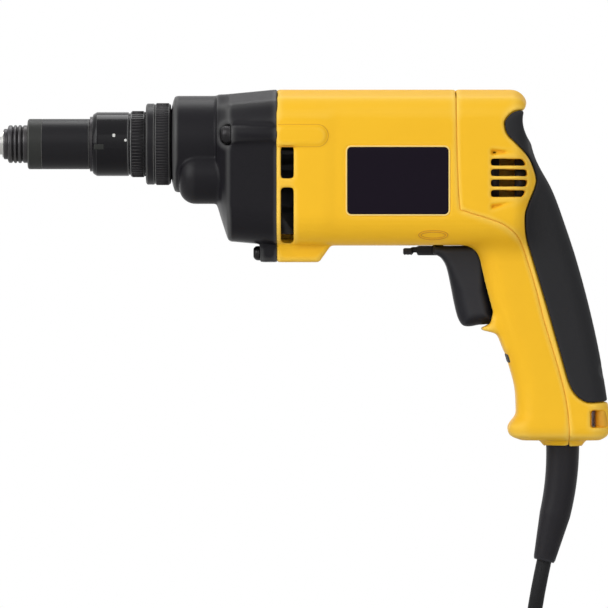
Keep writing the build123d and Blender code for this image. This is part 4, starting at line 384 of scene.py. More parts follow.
class Finish(Enum):
    """The finishes that the tool is dressed in."""

    # In these moulded finishes the pale colour on edges is a painted highlight with some rubbing, and the
    # deep colour in hollows is painted shade
    YELLOW = Moulded("yellow_shell", (0.94, 0.53, 0.022), (0.97, 0.66, 0.13), (0.72, 0.31, 0.010), 0.44,
                     specular=0.12)
    # Darker yellow as painted shade: on the bead lines of the ovals and screw ridges, and on the recessed
    # lanyard bar
    CREASE = Moulded("yellow_painted_shade", (0.66, 0.31, 0.015), (0.80, 0.45, 0.04), (0.5, 0.2, 0.01), 0.5)
    # Pale yellow as a painted highlight on the rims round the name plates
    RIM_HIGHLIGHT = Moulded("plate_rim_highlight", (0.95, 0.70, 0.22), (0.97, 0.78, 0.34), (0.88, 0.55, 0.10), 0.4)
    RUBBER = Moulded("grip_rubber", (0.022, 0.022, 0.024), (0.035, 0.035, 0.04), (0.012, 0.012, 0.014), 0.66,
                     2200.0, 0.06, 0.15, 0.3)
    # The case's pale edges stand for its edges catching light: a painted highlight
    CASE = Moulded("case_black", (0.0085, 0.0078, 0.0102), (0.085, 0.085, 0.085), (0.006, 0.006, 0.008), 0.36,
                   1100.0, 0.04, 0.15, 0.8)
    # The collar's strong pale edge colour is a painted highlight on its front chamfer
    GLOSS = Moulded("collar_black", (0.003, 0.0025, 0.004), (0.35, 0.35, 0.35), (0.002, 0.002, 0.003), 0.15,
                    900.0, 0.004, 0.2, 0.8)
    # The pale front edges of the sleeve and the band are a painted highlight
    SLEEVE = Moulded("sleeve_black", (0.0085, 0.008, 0.0098), (0.30, 0.30, 0.29), (0.006, 0.006, 0.008), 0.33,
                     1300.0, 0.015, 0.18, 0.8)
    BAND = Moulded("band_grey", (0.024, 0.025, 0.023), (0.30, 0.30, 0.28), (0.014, 0.014, 0.014), 0.42,
                   1300.0, 0.02, 0.2, 0.8)
    KNURL = Moulded("knurl_black", (0.030, 0.028, 0.030), (0.06, 0.06, 0.065), (0.010, 0.010, 0.012), 0.55,
                    1700.0, 0.05, 0.2, 0.6)
    TRIGGER = Moulded("trigger_black", (0.011, 0.011, 0.015), (0.05, 0.05, 0.055), (0.008, 0.008, 0.010),
                      0.42, 1600.0, 0.04, 0.2)
    PLATE = Moulded("name_plate_black", (0.009, 0.006, 0.012), (0.02, 0.02, 0.025), (0.006, 0.005, 0.010),
                    0.5, 700.0, 0.008, 0.05)
    MARK = Moulded("mark_white", (0.62, 0.62, 0.60), (0.8, 0.8, 0.78), (0.45, 0.45, 0.43), 0.5)
    LEAD = Moulded("lead_black", (0.013, 0.013, 0.014), (0.04, 0.04, 0.04), (0.008, 0.008, 0.009), 0.55,
                   1800.0, 0.03, 0.2)
    BOOT = Moulded("boot_black", (0.013, 0.012, 0.015), (0.05, 0.05, 0.055), (0.008, 0.008, 0.010), 0.48,
                   1500.0, 0.03, 0.2)
    TIE = Moulded("strap_grey", (0.05, 0.05, 0.052), (0.1, 0.1, 0.1), (0.03, 0.03, 0.03), 0.6)
    FAN = Moulded("fan_grey", (0.05, 0.05, 0.055), (0.12, 0.12, 0.12), (0.03, 0.03, 0.03), 0.5)
    SWITCH = Moulded("switch_black", (0.012, 0.012, 0.013), (0.04, 0.04, 0.04), (0.01, 0.01, 0.01), 0.5)
    WIRE = Moulded("wire_red", (0.30, 0.03, 0.02), (0.4, 0.08, 0.06), (0.2, 0.02, 0.01), 0.45)
    CARBON = Moulded("brush_carbon", (0.03, 0.03, 0.032), (0.1, 0.1, 0.1), (0.02, 0.02, 0.02), 0.55)
    BLACKED = Metal("blackened_steel", (0.022, 0.021, 0.023), (0.035, 0.033, 0.033), 0.36, bare=0.12)
    TURNED = Metal("turned_black", (0.042, 0.040, 0.044), (0.07, 0.066, 0.063), 0.34, (1.0, 0.03, 0.03),
                   bare=0.35)
    BRIGHT = Metal("polished_steel", (0.62, 0.61, 0.59), (0.50, 0.49, 0.47), 0.26, (1.0, 0.05, 0.05))
    GEAR = Metal("machined_steel", (0.28, 0.275, 0.27), (0.22, 0.215, 0.21), 0.38, (0.05, 1.0, 1.0))
    CORE = Metal("stacked_steel", (0.30, 0.30, 0.31), (0.22, 0.22, 0.23), 0.45, (1.0, 0.01, 0.01),
                 2400.0, 0.05)
    CAST = Metal("cast_alloy", (0.52, 0.52, 0.53), (0.40, 0.40, 0.41), 0.5, (1.0, 1.0, 1.0), 900.0, 0.05)
    BRONZE = Metal("bush_bronze", (0.50, 0.31, 0.12), (0.38, 0.22, 0.08), 0.4, (1.0, 0.05, 0.05))
    COPPER = Metal("winding_copper", (0.62, 0.24, 0.09), (0.45, 0.15, 0.05), 0.34, (0.03, 1.0, 1.0),
                   1600.0, 0.08)
    BRASS = Metal("spring_brass", (0.66, 0.48, 0.17), (0.50, 0.34, 0.11), 0.34)

    @property
    def material(self) -> bpy.types.Material:
        """The finish's material, made the first time it is asked for."""
        found = bpy.data.materials.get(self.value.name)
        return found or self.value.material()


# Pieces and meshes


def linked(name: str, data: Any) -> Piece:
    """Link a new object at the origin.

    Args:
        name: the object's name.
        data: its mesh, curve, camera or lamp.

    Returns:
        The new object.
    """
    thing = bpy.data.objects.new(name, data)
    bpy.context.scene.collection.objects.link(thing)
    return thing


def dress(mesh: bpy.types.Mesh, finish: Finish) -> None:
    """Give a mesh one finish in place of any other."""
    mesh.materials.clear()
    mesh.materials.append(finish.material)


def as_piece(name: str, mesh: bpy.types.Mesh, finish: Finish) -> Piece:
    """Make a smooth piece of a finished mesh.

    Args:
        name: the piece's name.
        mesh: its mesh, in metres.
        finish: what it is dressed in.

    Returns:
        The new object.
    """
    mesh.shade_smooth()
    dress(mesh, finish)
    return linked(name, mesh)


def settle(piece: Piece, body: str, slot: str, *nodes: str) -> Piece:
    """Fix a piece to its body and log it.

    Args:
        piece: the finished piece.
        body: what it rides on.
        slot: its material slot, which is not used.
        nodes: the nodes that it stands for, if any.

    Returns:
        The same piece.
    """
    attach(piece, body)
    if nodes:
        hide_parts(*nodes)
    LOG.info("%s rides on %s", piece.name, body)
    return piece


def store_edges(mesh: bpy.types.Mesh, values: Sequence[float]) -> None:
    """Keep an edge value for each vertex of a mesh."""
    mesh.attributes.new(EDGE, "FLOAT", "POINT").data.foreach_set("value", values)


def mark_edges(mesh: bpy.types.Mesh, share: float = 1.0) -> None:
    """Turn faces outward and give each vertex an edge value: above 0 on convex edges, below 0 in hollows.

    Args:
        mesh: closed mesh to mark.
        share: how strongly its edges count, 0 where they stay as dark as the rest.
    """
    shape = bmesh.new()
    shape.from_mesh(mesh)
    bmesh.ops.recalc_face_normals(shape, faces=shape.faces)
    values = []
    for vertex in shape.verts:
        angles = [e.calc_face_angle_signed(0.0) for e in vertex.link_edges]
        values.append(float(np.clip(max(angles, key=abs, default=0.0) * EDGE_GAIN, -1, 1)) * share)
    shape.to_mesh(mesh)
    shape.free()
    store_edges(mesh, values)


def ringed(name: str, sets: Sequence[np.ndarray], finish: Finish, looped: bool,
           edges: float = 1.0) -> Piece:
    """Closed mesh through rings of points.

    Args:
        name: the piece's name.
        sets: for each body of the mesh, its rings as an array of ring, point and coordinate.
        finish: what it is dressed in.
        looped: whether the last ring joins the first; if not, both end rings are capped.
        edges: how strongly its edges take the pale painted highlight and rubbing, and its hollows the painted
            shade.

    Returns:
        The new object.
    """
    vertices: list = []
    faces: list = []
    for rings in sets:
        count, size = rings.shape[:2]
        base = len(vertices)
        starts = base + np.arange(count if looped else count - 1)[:, None] * size
        ends = base + (np.arange(len(starts))[:, None] + 1) % count * size
        here = np.arange(size)[None, :]
        following = (here + 1) % size
        quads = np.stack([starts + here, starts + following, ends + following, ends + here], -1)
        faces += quads.reshape(-1, 4).tolist()
        if not looped:
            last = base + (count - 1) * size
            faces += [list(range(base, base + size)), list(range(last, last + size))]
        vertices += (rings.reshape(-1, 3) * MM).tolist()
    mesh = bpy.data.meshes.new(name)
    mesh.from_pydata(vertices, [], faces)
    mark_edges(mesh, edges)
    return as_piece(name, mesh, finish)


def softened(points: Sequence[Point], radius: float, steps: int = 3, reach: float = 1.2) -> np.ndarray:
    """Closed outline with each corner turned into a small arc.

    Args:
        points: corners in order.
        radius: distance from a corner at which its arc starts.
        steps: spans in each arc.
        reach: longest span of the new outline.

    Returns:
        The new outline.
    """
    corners = np.array(points, float)
    line = []
    for here, before, after in zip(corners, np.roll(corners, 1, 0), np.roll(corners, -1, 0)):
        ends = []
        for other in (before, after):
            length = float(np.hypot(*(other - here)))
            ends.append(here + (other - here) / length * min(radius, ARC_SHARE * length))
        for share in np.linspace(0, 1, steps + 1):
            line.append((1 - share) ** 2 * ends[0] + 2 * share * (1 - share) * here + share ** 2 * ends[1])
    result = []
    for here, after in zip(line, [*line[1:], line[0]]):
        count = max(1, math.ceil(float(np.hypot(*(after - here))) / reach))
        result += [here + (after - here) * k / count for k in range(count)]
    return np.array(result)


def full_turn(count: int) -> np.ndarray:
    """Angles of a whole turn in even steps."""
    return np.linspace(0.0, 2 * math.pi, count, endpoint=False)


def turned(name: str, outline: Sequence[Point], finish: Finish, soft: float = 0.3, segments: int = 128,
           lines: Sequence[Point] = ((0.0, SPINDLE_Z),)) -> Piece:
    """Piece turned about lines along X.

    Args:
        name: the piece's name.
        outline: closed outline as (x, radius), clear of the line.
        finish: what it is dressed in.
        soft: how far each corner is eased.
        segments: steps round a line.
        lines: y and z of each line that carries a copy.

    Returns:
        The new object.
    """
    profile = softened(outline, soft)
    turns = full_turn(segments)[:, None]
    sets = []
    for y, z in lines:
        rings = np.empty((segments, len(profile), 3))
        rings[:, :, 0] = profile[:, 0]
        rings[:, :, 1] = y + np.cos(turns) * profile[:, 1]
        rings[:, :, 2] = z + np.sin(turns) * profile[:, 1]
        sets.append(rings)
    return ringed(name, sets, finish, looped=True)


def panel(name: str, middle: Point, half: Point, corner: float, layers: Sequence[Point],
          places: Sequence[Placing], finish: Finish, looped: bool = False) -> Piece:
    """Thin rounded rectangle laid on a surface.

    Args:
        name: the piece's name.
        middle: its middle in the surface's two directions.
        half: half its length and height.
        corner: corner radius.
        layers: (inset, height) of each ring, from the surface outward.
        places: for each copy, what turns the two directions and the height into points.
        finish: what it is dressed in.
        looped: whether the rings close into a frame.

    Returns:
        The new object.
    """
    turns = np.linspace(0.0, math.pi / 2, CORNER_POINTS)
    sets = []
    for place in places:
        rings = []
        for inset, height in layers:
            u, v = [], []
            for quarter, (right, up) in enumerate(((1, 1), (-1, 1), (-1, -1), (1, -1))):
                angles = turns + quarter * math.pi / 2
                u.append(middle[0] + right * (half[0] - corner) + np.cos(angles) * (corner - inset))
                v.append(middle[1] + up * (half[1] - corner) + np.sin(angles) * (corner - inset))
            rings.append(place(np.concatenate(u), np.concatenate(v), height))
        sets.append(np.array(rings))
    return ringed(name, sets, finish, looped, edges=0.0)


def both_sides(out: float) -> list[Placing]:
    """What lays a panel flat on the left side of the tool, and a copy on the right.

    Args:
        out: how far the panel's surface lies from the middle plane.

    Returns:
        For each side, a function from X, Z and a height to points.
    """
    def place(side: float, x: np.ndarray, z: np.ndarray, height: float) -> np.ndarray:
        """Points at a height over one side."""
        return np.stack([x, np.full_like(x, side * (out + height)), z], -1)
    return [partial(place, side) for side in (-1.0, 1.0)]


class Way(Enum):
    """How a grown row runs."""

    ROUND = "round the spindle line"
    ALONG = "along X"


class RibRow(Board):
    """Geometry nodes that grow a row of round ribs."""

    sides = 12
    seed = 7
    least: Place = (0.90, 0.90, 1.0)
    most: Place = (1.05, 1.05, 1.0)

    def __init__(self, name: str, way: Way, finish: Finish) -> None:
        """Build the tree with its named inputs.

        Args:
            name: the tree's name.
            way: how the row runs.
            finish: what the ribs are dressed in.
        """
        tree = bpy.data.node_groups.new(name, "GeometryNodeTree")
        super().__init__(tree)
        self.finish = finish
        kinds = {"Count": "Int", "Radius": "Float", "Pitch": "Vector", "Place": "Vector", "Length": "Float",
                 "Thickness": "Float"}
        for title, kind in kinds.items():
            tree.interface.new_socket(title, in_out="INPUT", socket_type=f"NodeSocket{kind}")
        tree.interface.new_socket("Mesh", in_out="OUTPUT", socket_type="NodeSocketGeometry")
        given = self.add("NodeGroupInput").outputs
        if way is Way.ROUND:
            spots = self.add("GeometryNodeMeshCircle", {}, {
                "Vertices": given["Count"], "Radius": given["Radius"]})
            lean, turn = (0.0, 0.0, 0.0), (0.0, math.pi / 2, 0.0)
        else:
            spots = self.add("GeometryNodeMeshLine", {}, {"Count": given["Count"], "Offset": given["Pitch"]})
            lean, turn = (math.pi / 2, 0.0, 0.0), (0.0, 0.0, 0.0)
        halved = self.add("ShaderNodeMath", {"operation": "MULTIPLY"}, {0: given["Thickness"], 1: 0.5})
        rib = self.add("GeometryNodeMeshCylinder", {}, {
            "Vertices": self.sides, "Radius": halved.outputs[0], "Depth": given["Length"]})
        uneven = self.add("FunctionNodeRandomValue", {"data_type": "FLOAT_VECTOR"}, {
            0: self.least, 1: self.most, "Seed": self.seed})
        row = self.add("GeometryNodeInstanceOnPoints", {}, {
            "Points": spots.outputs[0], "Instance": rib.outputs[0], "Rotation": lean,
            "Scale": uneven.outputs[0]})
        laid = self.add("GeometryNodeTransform", {}, {
            "Geometry": row.outputs[0], "Translation": given["Place"], "Rotation": turn})
        real = self.add("GeometryNodeRealizeInstances", {}, {"Geometry": laid.outputs[0]})
        painted = self.add("GeometryNodeSetMaterial", {}, {
            "Geometry": real.outputs[0], "Material": finish.material})
        self.add("NodeGroupOutput", {}, {"Mesh": painted.outputs[0]})

    def grow(self, name: str, **values: Any) -> Piece:
        """Set the named inputs and turn the row into one mesh.

        Args:
            name: the piece's name.
            values: value of each input, in metres.

        Returns:
            The new object.
        """
        holder = linked(f"{name}_seed", bpy.data.meshes.new(f"{name}_seed"))
        grower = holder.modifiers.new("row", "NODES")
        grower.node_group = self.tree
        for item in self.tree.interface.items_tree:
            if item.in_out == "INPUT" and item.name in values:
                grower[item.identifier] = values[item.name]
        made = holder.evaluated_get(bpy.context.evaluated_depsgraph_get())
        mesh = bpy.data.meshes.new_from_object(made)
        bpy.data.objects.remove(holder)
        mesh.name = name
        mark_edges(mesh, 0.0)
        return as_piece(name, mesh, self.finish)


# Rounded solids from distance fields


class Space:
    """A box of sample points and the outlines measured on it."""

    def __init__(self, low: Place, high: Place, step: float) -> None:
        """Lay out the samples.

        Args:
            low: lowest corner.
            high: highest corner.
            step: distance between samples.
        """
        self.low = np.array(low)
        self.step = step
        ticks = [np.arange(a, b + step, step, dtype=np.float32) for a, b in zip(low, high)]
        self.x = ticks[0][:, None, None]
        self.y = ticks[1][None, :, None]
        self.z = ticks[2][None, None, :]
        self.wide = np.abs(self.y)

    def drawn(self, points: Sequence[Point]) -> np.ndarray:
        """Distance to a closed outline in the plane of X and Z.

        Args:
            points: corners in order, as (x, z).

        Returns:
            The distance, below 0 inside.
        """
        x, z = self.x[:, 0, :], self.z[0, :, :]
        nearest = np.full((x.shape[0], z.shape[1]), FAR, dtype=np.float32)
        inside = np.zeros(nearest.shape, dtype=bool)
        for (ax, az), (bx, bz) in zip(points, [*points[1:], points[0]]):
            dx, dz = bx - ax, bz - az
            share = np.clip(((x - ax) * dx + (z - az) * dz) / (dx * dx + dz * dz + TINY), 0, 1)
            nearest = np.minimum(nearest, np.hypot(x - ax - share * dx, z - az - share * dz))
            if az != bz:
                crosses = (az > z) != (bz > z)
                inside ^= crosses & (x < ax + (z - az) * dx / dz)
        return np.where(inside, -nearest, nearest)[:, None, :]

    def bar(self, y: float, z: float, radius: float) -> np.ndarray:
        """Distance to a pair of round bars along X, one each side."""
        return np.hypot(self.wide - y, self.z - z) - radius

    def post(self, x: float, y: float, radius: float) -> np.ndarray:
        """Distance to a pair of round posts along Z, one each side."""
        return np.hypot(self.x - x, self.wide - y) - radius

    def window(self, x: Point, z: Point, corner: float, lean: float = 0.0) -> np.ndarray:
        """Distance to a rounded rectangle in the plane of X and Z.

        Args:
            x: its two ends along X.
            z: its two ends along Z.
            corner: corner radius.
            lean: how far it shifts toward -X for each step along Y.

        Returns:
            The distance, below 0 inside.
        """
        middle_x, middle_z = sum(x) / 2, sum(z) / 2
        across, up = self.x + lean * self.y - middle_x, self.z - middle_z
        return rounded(across, up, x[1] - middle_x, z[1] - middle_z, corner)


def rounded(u: np.ndarray, v: np.ndarray, half_u: Any, half_v: Any, corner: Any) -> np.ndarray:
    """Distance to a rounded rectangle about the origin of two coordinates."""
    across, up = np.abs(u) - half_u + corner, np.abs(v) - half_v + corner
    return np.minimum(np.maximum(across, up), 0) + np.hypot(np.maximum(across, 0), np.maximum(up, 0)) - corner


def between(values: np.ndarray, ends: Point) -> np.ndarray:
    """Distance outside a span of one coordinate, below 0 within it."""
    return np.maximum(ends[0] - values, values - ends[1])


def common(*fields: np.ndarray) -> np.ndarray:
    """What all the solids share, with sharp edges."""
    return reduce(np.maximum, fields)


def together(*fields: np.ndarray) -> np.ndarray:
    """All the solids as one, with sharp edges."""
    return reduce(np.minimum, fields)


def join(first: np.ndarray, second: np.ndarray, soft: float) -> np.ndarray:
    """Both solids together, with a fillet of about the soft size."""
    share = np.clip(0.5 + 0.5 * (second - first) / soft, 0, 1)
    return second + (first - second) * share - soft * share * (1 - share)


def cut(first: np.ndarray, second: np.ndarray, soft: float) -> np.ndarray:
    """The first solid without the second, with edges eased by about the soft size."""
    return -join(-first, second, soft)


def meet(first: np.ndarray, second: np.ndarray, radius: float) -> np.ndarray:
    """What two solids share, with its edge rounded to a radius."""
    a, b = np.maximum(first + radius, 0), np.maximum(second + radius, 0)
    return np.minimum(np.maximum(first, second), -radius) + np.hypot(a, b)


def flowing(points: Sequence[Point], spans: int = 6) -> list[Point]:
    """Smooth line through points.

    Args:
        points: what it passes through.
        spans: short spans from one point to the next.

    Returns:
        The line's own points.
    """
    known = np.array([points[0], *points, points[-1]], float)
    line: list[Point] = []
    for index in range(1, len(known) - 2):
        a, b, c, d = known[index - 1:index + 3]
        for share in np.linspace(0, 1, spans, endpoint=False):
            point = 0.5 * (2 * b + (c - a) * share + (2 * a - 5 * b + 4 * c - d) * share ** 2
                           + (3 * b - a - 3 * c + d) * share ** 3)
            line.append((float(point[0]), float(point[1])))
    return [*line, (float(points[-1][0]), float(points[-1][1]))]


def glide(at: np.ndarray, knots: Sequence[float], values: Sequence[float]) -> np.ndarray:
    """Smooth curve through values, without overshoot.

    Args:
        at: where the curve is read.
        knots: rising places of the values.
        values: what it passes through.

    Returns:
        The curve's values, level beyond the ends.
    """
    x, y = np.array(knots, float), np.array(values, float)
    gap, rise = np.diff(x), np.diff(y) / np.diff(x)
    slope = np.concatenate([rise[:1], np.zeros(len(x) - 2), rise[-1:]])
    same = rise[:-1] * rise[1:] > 0
    slope[1:-1][same] = 2 * rise[:-1][same] * rise[1:][same] / (rise[:-1] + rise[1:])[same]
    spot = np.clip(at, x[0], x[-1])
    index = np.clip(np.searchsorted(x, spot) - 1, 0, len(gap) - 1)
    share = (spot - x[index]) / gap[index]
    rest, span = 1 - share, gap[index]
    low = (1 + 2 * share) * rest ** 2 * y[index] + share * rest ** 2 * span * slope[index]
    high = share ** 2 * (3 - 2 * share) * y[index + 1] + share ** 2 * (share - 1) * span * slope[index + 1]
    return (low + high).astype(np.float32)


def eased(values: np.ndarray, passes: int) -> np.ndarray:
    """A field averaged with its neighbours, which rounds sharp edges.

    Args:
        values: the field.
        passes: how often it is averaged.

    Returns:
        The new field.
    """
    for _ in range(passes):
        for axis in range(3):
            padded = np.pad(values, [(1, 1) if a == axis else (0, 0) for a in range(3)], mode="edge")
            spans = [range(k, k + values.shape[axis]) for k in range(len(AVERAGE))]
            values = sum(weight * np.take(padded, span, axis) for weight, span in zip(AVERAGE, spans))
    return values


def sampled(values: np.ndarray, spots: np.ndarray) -> np.ndarray:
    """Field between its samples.

    Args:
        values: the field.
        spots: where it is read, counted in steps.

    Returns:
        Its value at each spot.
    """
    base = np.clip(spots.astype(int), 0, np.array(values.shape) - 2)
    share = spots - base
    total = np.zeros(len(spots))
    for corner in product((0, 1), repeat=3):
        weight = np.prod(np.where(corner, share, 1 - share), axis=1)
        total += weight * values[tuple((base + np.array(corner)).T)]
    return total


def skinned(name: str, values: np.ndarray, space: Space, finish: Finish,
            form: np.ndarray | None = None) -> Piece:
    """Closed mesh where a field is zero, with an edge value at each vertex.

    Args:
        name: the piece's name.
        values: distance field on the space, below 0 inside.
        space: where its samples lie.
        finish: what it is dressed in.
        form: field of the same outside without its hollow, on which the edges are measured.

    Returns:
        The new object.
    """
    solid = eased(np.pad(values.astype(np.float32), PAD, constant_values=PAD_VALUE), 1)
    inside = solid < 0
    shape = np.array(solid.shape)
    strides = np.array([shape[1] * shape[2], shape[2], 1])
    steps = np.eye(3, dtype=int)
    points, quads = [], []
    for axis in range(3):
        near = tuple(slice(None, -1) if a == axis else slice(None) for a in range(3))
        far = tuple(slice(1, None) if a == axis else slice(None) for a in range(3))
        crossing = np.argwhere(inside[near] != inside[far])
        start, end = solid[tuple(crossing.T)], solid[tuple((crossing + steps[axis]).T)]
        spot = crossing + (start / (start - end))[:, None] * steps[axis]
        side, up = steps[(axis + 1) % 3], steps[(axis + 2) % 3]
        cells = [(crossing - side * a - up * b) @ strides for a, b in ((0, 0), (1, 0), (1, 1), (0, 1))]
        corners = np.stack(cells, 1)
        inward = ~inside[tuple(crossing.T)]
        corners[inward] = corners[inward][:, ::-1]
        quads.append(corners)
        points.append(np.repeat(spot, 4, axis=0))
    corners = np.concatenate(quads)
    found, index = np.unique(corners.ravel(), return_inverse=True)
    sums = np.stack([np.bincount(index, p) for p in np.concatenate(points).T], 1)
    spots = sums / np.bincount(index)[:, None]
    slopes = np.gradient(solid)
    for _ in range(PULLS):
        lean = np.stack([sampled(s, spots) for s in slopes], 1)
        pull = sampled(solid, spots) / np.maximum((lean ** 2).sum(1), LEAST_SLOPE)
        spots -= np.clip(pull, -LONGEST_PULL, LONGEST_PULL)[:, None] * lean
    outside = solid if form is None else np.pad(form.astype(np.float32), PAD, mode="edge")
    wide = eased(outside, BEND_PASSES)
    bend = sum(np.gradient(np.gradient(wide, axis=a), axis=a) for a in range(3))
    edge = np.clip(sampled(bend, spots) / space.step, -1, 1)
    mesh = bpy.data.meshes.new(name)
    place = (space.low + (spots - PAD) * space.step) * MM
    mesh.from_pydata(place.tolist(), [], np.searchsorted(found, corners).tolist())
    store_edges(mesh, edge.astype(np.float32))
    mesh.update()
    return as_piece(name, mesh, finish)


def flat_of_corner(space: Space, span: Point, narrower: Any, lower: Any) -> np.ndarray:
    """Field below a flat that cuts the barrel's upper corners.

    Args:
        space: where the samples lie.
        span: the two directions between which the corner is cut, in degrees from straight up.
        narrower: how much less than the barrel's half width the section has.
        lower: how far its top lies under the barrel's.

    Returns:
        Distance above the flat.
    """
    first, last = (math.radians(angle) for angle in span)
    middle = (first + last) / 2
    reach = BARREL_CORNER * math.cos((last - first) / 2)
    across = space.wide - (BARREL_HALF_WIDTH - BARREL_CORNER) + narrower
    up = space.z - (MOTOR_Z + BARREL_HALF_HEIGHT - BARREL_CORNER) + lower
    return across * math.sin(middle) + up * math.cos(middle) - reach


# Sub-assemblies


@dataclass
class Body:
    """What the shells share: barrel, handle, base, cord hub, hollow and parting line."""

    step: float = 0.93
    low: Place = (-140.5, -40.0, -70.0)
    high: Place = (38.0, 40.0, 121.5)
    far: float = 60.0
    tail_x: float = -7.9
    tail_round: float = 9.0
    facets: tuple = ((0.0, 42.0), (42.0, 68.0))
    facet_round: float = 1.0
    handle: tuple = (
        (-64.0, -10.5, 30.5, 15.5, 7.0), (-62.0, -16.0, 34.0, 19.5, 9.0), (-57.5, -17.4, 35.8, 21.0, 10.0),
        (-49.5, -13.0, 35.3, 19.8, 10.0), (-40.4, -13.3, 34.0, 19.0, 10.0), (-22.0, -17.6, 31.0, 18.5, 10.5),
        (-1.0, -25.0, 26.6, 18.5, 10.5), (29.4, -32.6, 18.6, 19.5, 11.0), (48.8, -35.5, 12.2, 22.5, 12.0),
        (67.2, -37.0, 5.2, 25.5, 12.0), (88.0, -37.0, -6.6, 26.5, 11.0), (99.8, -37.0, -11.5, 25.0, 9.0),
    )
    handle_wall: float = 4.8
    handle_fillet: float = 9.0
    cavity_floor_z: float = -36.0
    lip: tuple = (
        (-22.0, 4.0), (-25.6, 2.0), (-26.8, -2.2), (-28.6, -3.9), (-31.6, -5.0), (-31.2, -6.3), (-25.8, -7.6),
        (-22.4, -9.4), (-18.0, -18.0), (-12.0, -14.0),
    )
    lip_half_width: float = 15.0
    lip_round: float = 3.0
    lip_fillet: float = 1.5
    web: Place = (4.4, 103.0, 15.0)
    web_edge: float = 1.5
    seam: tuple = (
        (-45.1, 130.0), (-45.1, 98.7), (-43.6, 59.8), (-40.4, 55.6), (-27.3, 51.4), (-19.4, 48.0),
        (-13.6, 43.1), (-10.2, 36.8), (-7.4, 28.9), (-3.2, 15.2), (1.1, -1.6), (6.8, -20.5), (11.6, -38.3),
        (13.9, -54.1), (14.2, -75.0),
    )
    grip_edge: tuple = (
        (-5.0, 108.2), (-14.5, 108.0), (-19.5, 104.0), (-20.5, 100.3), (-18.9, 95.0), (-13.7, 89.8),
        (-7.4, 83.0), (-3.9, 74.0), (-4.2, 68.8), (-8.4, 58.3), (-9.7, 52.5), (-8.9, 42.5), (-5.4, 30.5),
        (2.4, 4.7), (9.9, -21.5), (13.6, -34.1), (16.8, -39.9), (21.3, -43.6), (26.3, -44.6), (40.0, -43.0),
    )
    hub: tuple = ((HUB_BOTTOM_Z, 9.4), (-64.0, 12.2), (-60.0, 12.2))
    hub_round: float = 0.8
    hub_fillet: float = 1.5
    well_radius: float = 9.0
    well_top_z: float = -40.0
    hollow_fillet: float = 4.0
    vent_edge: float = 0.3
    vent_rib: float = 1.25
    rib_inset: float = 1.0
    shade_strip_corner: float = 0.6
    shade_strip_layers: tuple = ((0.0, -0.4), (0.0, 0.4))

    def __post_init__(self) -> None:
        """Measure the common fields once."""
        self.space = Space(self.low, self.high, self.step)
        self.outside = self.form()
        self.hollow = self.inside()
        self.split = self.behind(self.seam)

    def behind(self, line: Sequence[Point]) -> np.ndarray:
        """Field of all that lies behind a smooth line through points, from top to bottom."""
        ends = [(self.far, line[-1][1]), (self.far, line[0][1])]
        return self.space.drawn([*flowing(line), *ends])

    def barrel(self, inset: float) -> np.ndarray:
        """Field of the barrel's section.

        Args:
            inset: how far the section is drawn in.

        Returns:
            The field, below 0 inside.
        """
        wider = glide(self.space.x, *zip(*FLARE))
        return rounded(self.space.y, self.space.z - MOTOR_Z, BARREL_HALF_WIDTH - inset + wider,
                       BARREL_HALF_HEIGHT - inset, BARREL_CORNER - inset)

    def stock(self) -> np.ndarray:
        """Field of the handle with its flared base.

        Returns:
            The field, below 0 inside.
        """
        z = self.space.z[0, 0, :]
        knots, *columns = zip(*self.handle)
        front, rear, half, corner = (glide(z, knots, column)[None, None, :] for column in columns)
        level = rounded(self.space.x - (front + rear) / 2, self.space.y, (rear - front) / 2, half, corner)
        return common(level, between(self.space.z, (knots[0], knots[-1])))

    def form(self) -> np.ndarray:
        """Field of the whole outside.

        Returns:
            The field, below 0 inside.
        """
        space = self.space
        section = self.barrel(0.0)
        for facet in self.facets:
            section = meet(section, flat_of_corner(space, facet, 0.0, 0.0), self.facet_round)
        barrel = meet(section, space.x - self.tail_x, self.tail_round)
        body = join(barrel, self.stock(), self.handle_fillet)
        web_x, web_z, web_radius = self.web
        body = cut(body, np.hypot(space.x - web_x, space.z - web_z) - web_radius, self.web_edge)
        lip = meet(space.drawn(flowing(self.lip)), space.wide - self.lip_half_width, self.lip_round)
        body = join(body, lip, self.lip_fillet)
        heights, radii = zip(*self.hub)
        taper = np.hypot(space.x - CORD_X, space.y) - np.interp(space.z, heights, radii)
        hub = common(meet(taper, heights[0] - space.z, self.hub_round), space.z - heights[-1])
        return join(body, hub, self.hub_fillet)

    def inside(self) -> np.ndarray:
        """Field of the hollow that holds motor, switch and lead.

        Returns:
            The field, below 0 inside.
        """
        space = self.space
        barrel = common(self.barrel(BARREL_WALL), space.x - self.tail_x + BARREL_WALL + self.tail_round)
        stock = common(self.stock() + self.handle_wall, self.cavity_floor_z - space.z)
        well = common(space.post(CORD_X, 0.0, self.well_radius), space.z - self.well_top_z)
        return together(join(barrel, stock, self.hollow_fillet), well)

    def hollowed(self, node: str, body: np.ndarray, rib: np.ndarray) -> None:
        """Make a yellow shell.

        Args:
            node: the node that it stands for.
            body: field of its outside.
            rib: field of the rib that stays in its hollow.
        """
        shell = together(common(body, -self.hollow), rib)
        piece = skinned(f"{node}_shell", shell, self.space, Finish.YELLOW, body)
        settle(piece, "housing", "yellow_plastic", node)

    def painted_shade_strips(self, name: str, middle: Point, half: Point, out: float) -> None:
        """Make black strips behind the vents of both sides, as painted shade inside the vents.

        Args:
            name: the piece's name.
            middle: X and Z of a strip's middle.
            half: half its length and height.
            out: how far it stands from the middle plane.
        """
        # Black panels put where only shade lies inside the vents: painted shade
        piece = panel(name, middle, half, self.shade_strip_corner, self.shade_strip_layers, both_sides(out),
                      Finish.SWITCH)
        settle(piece, "housing", "black_plastic")


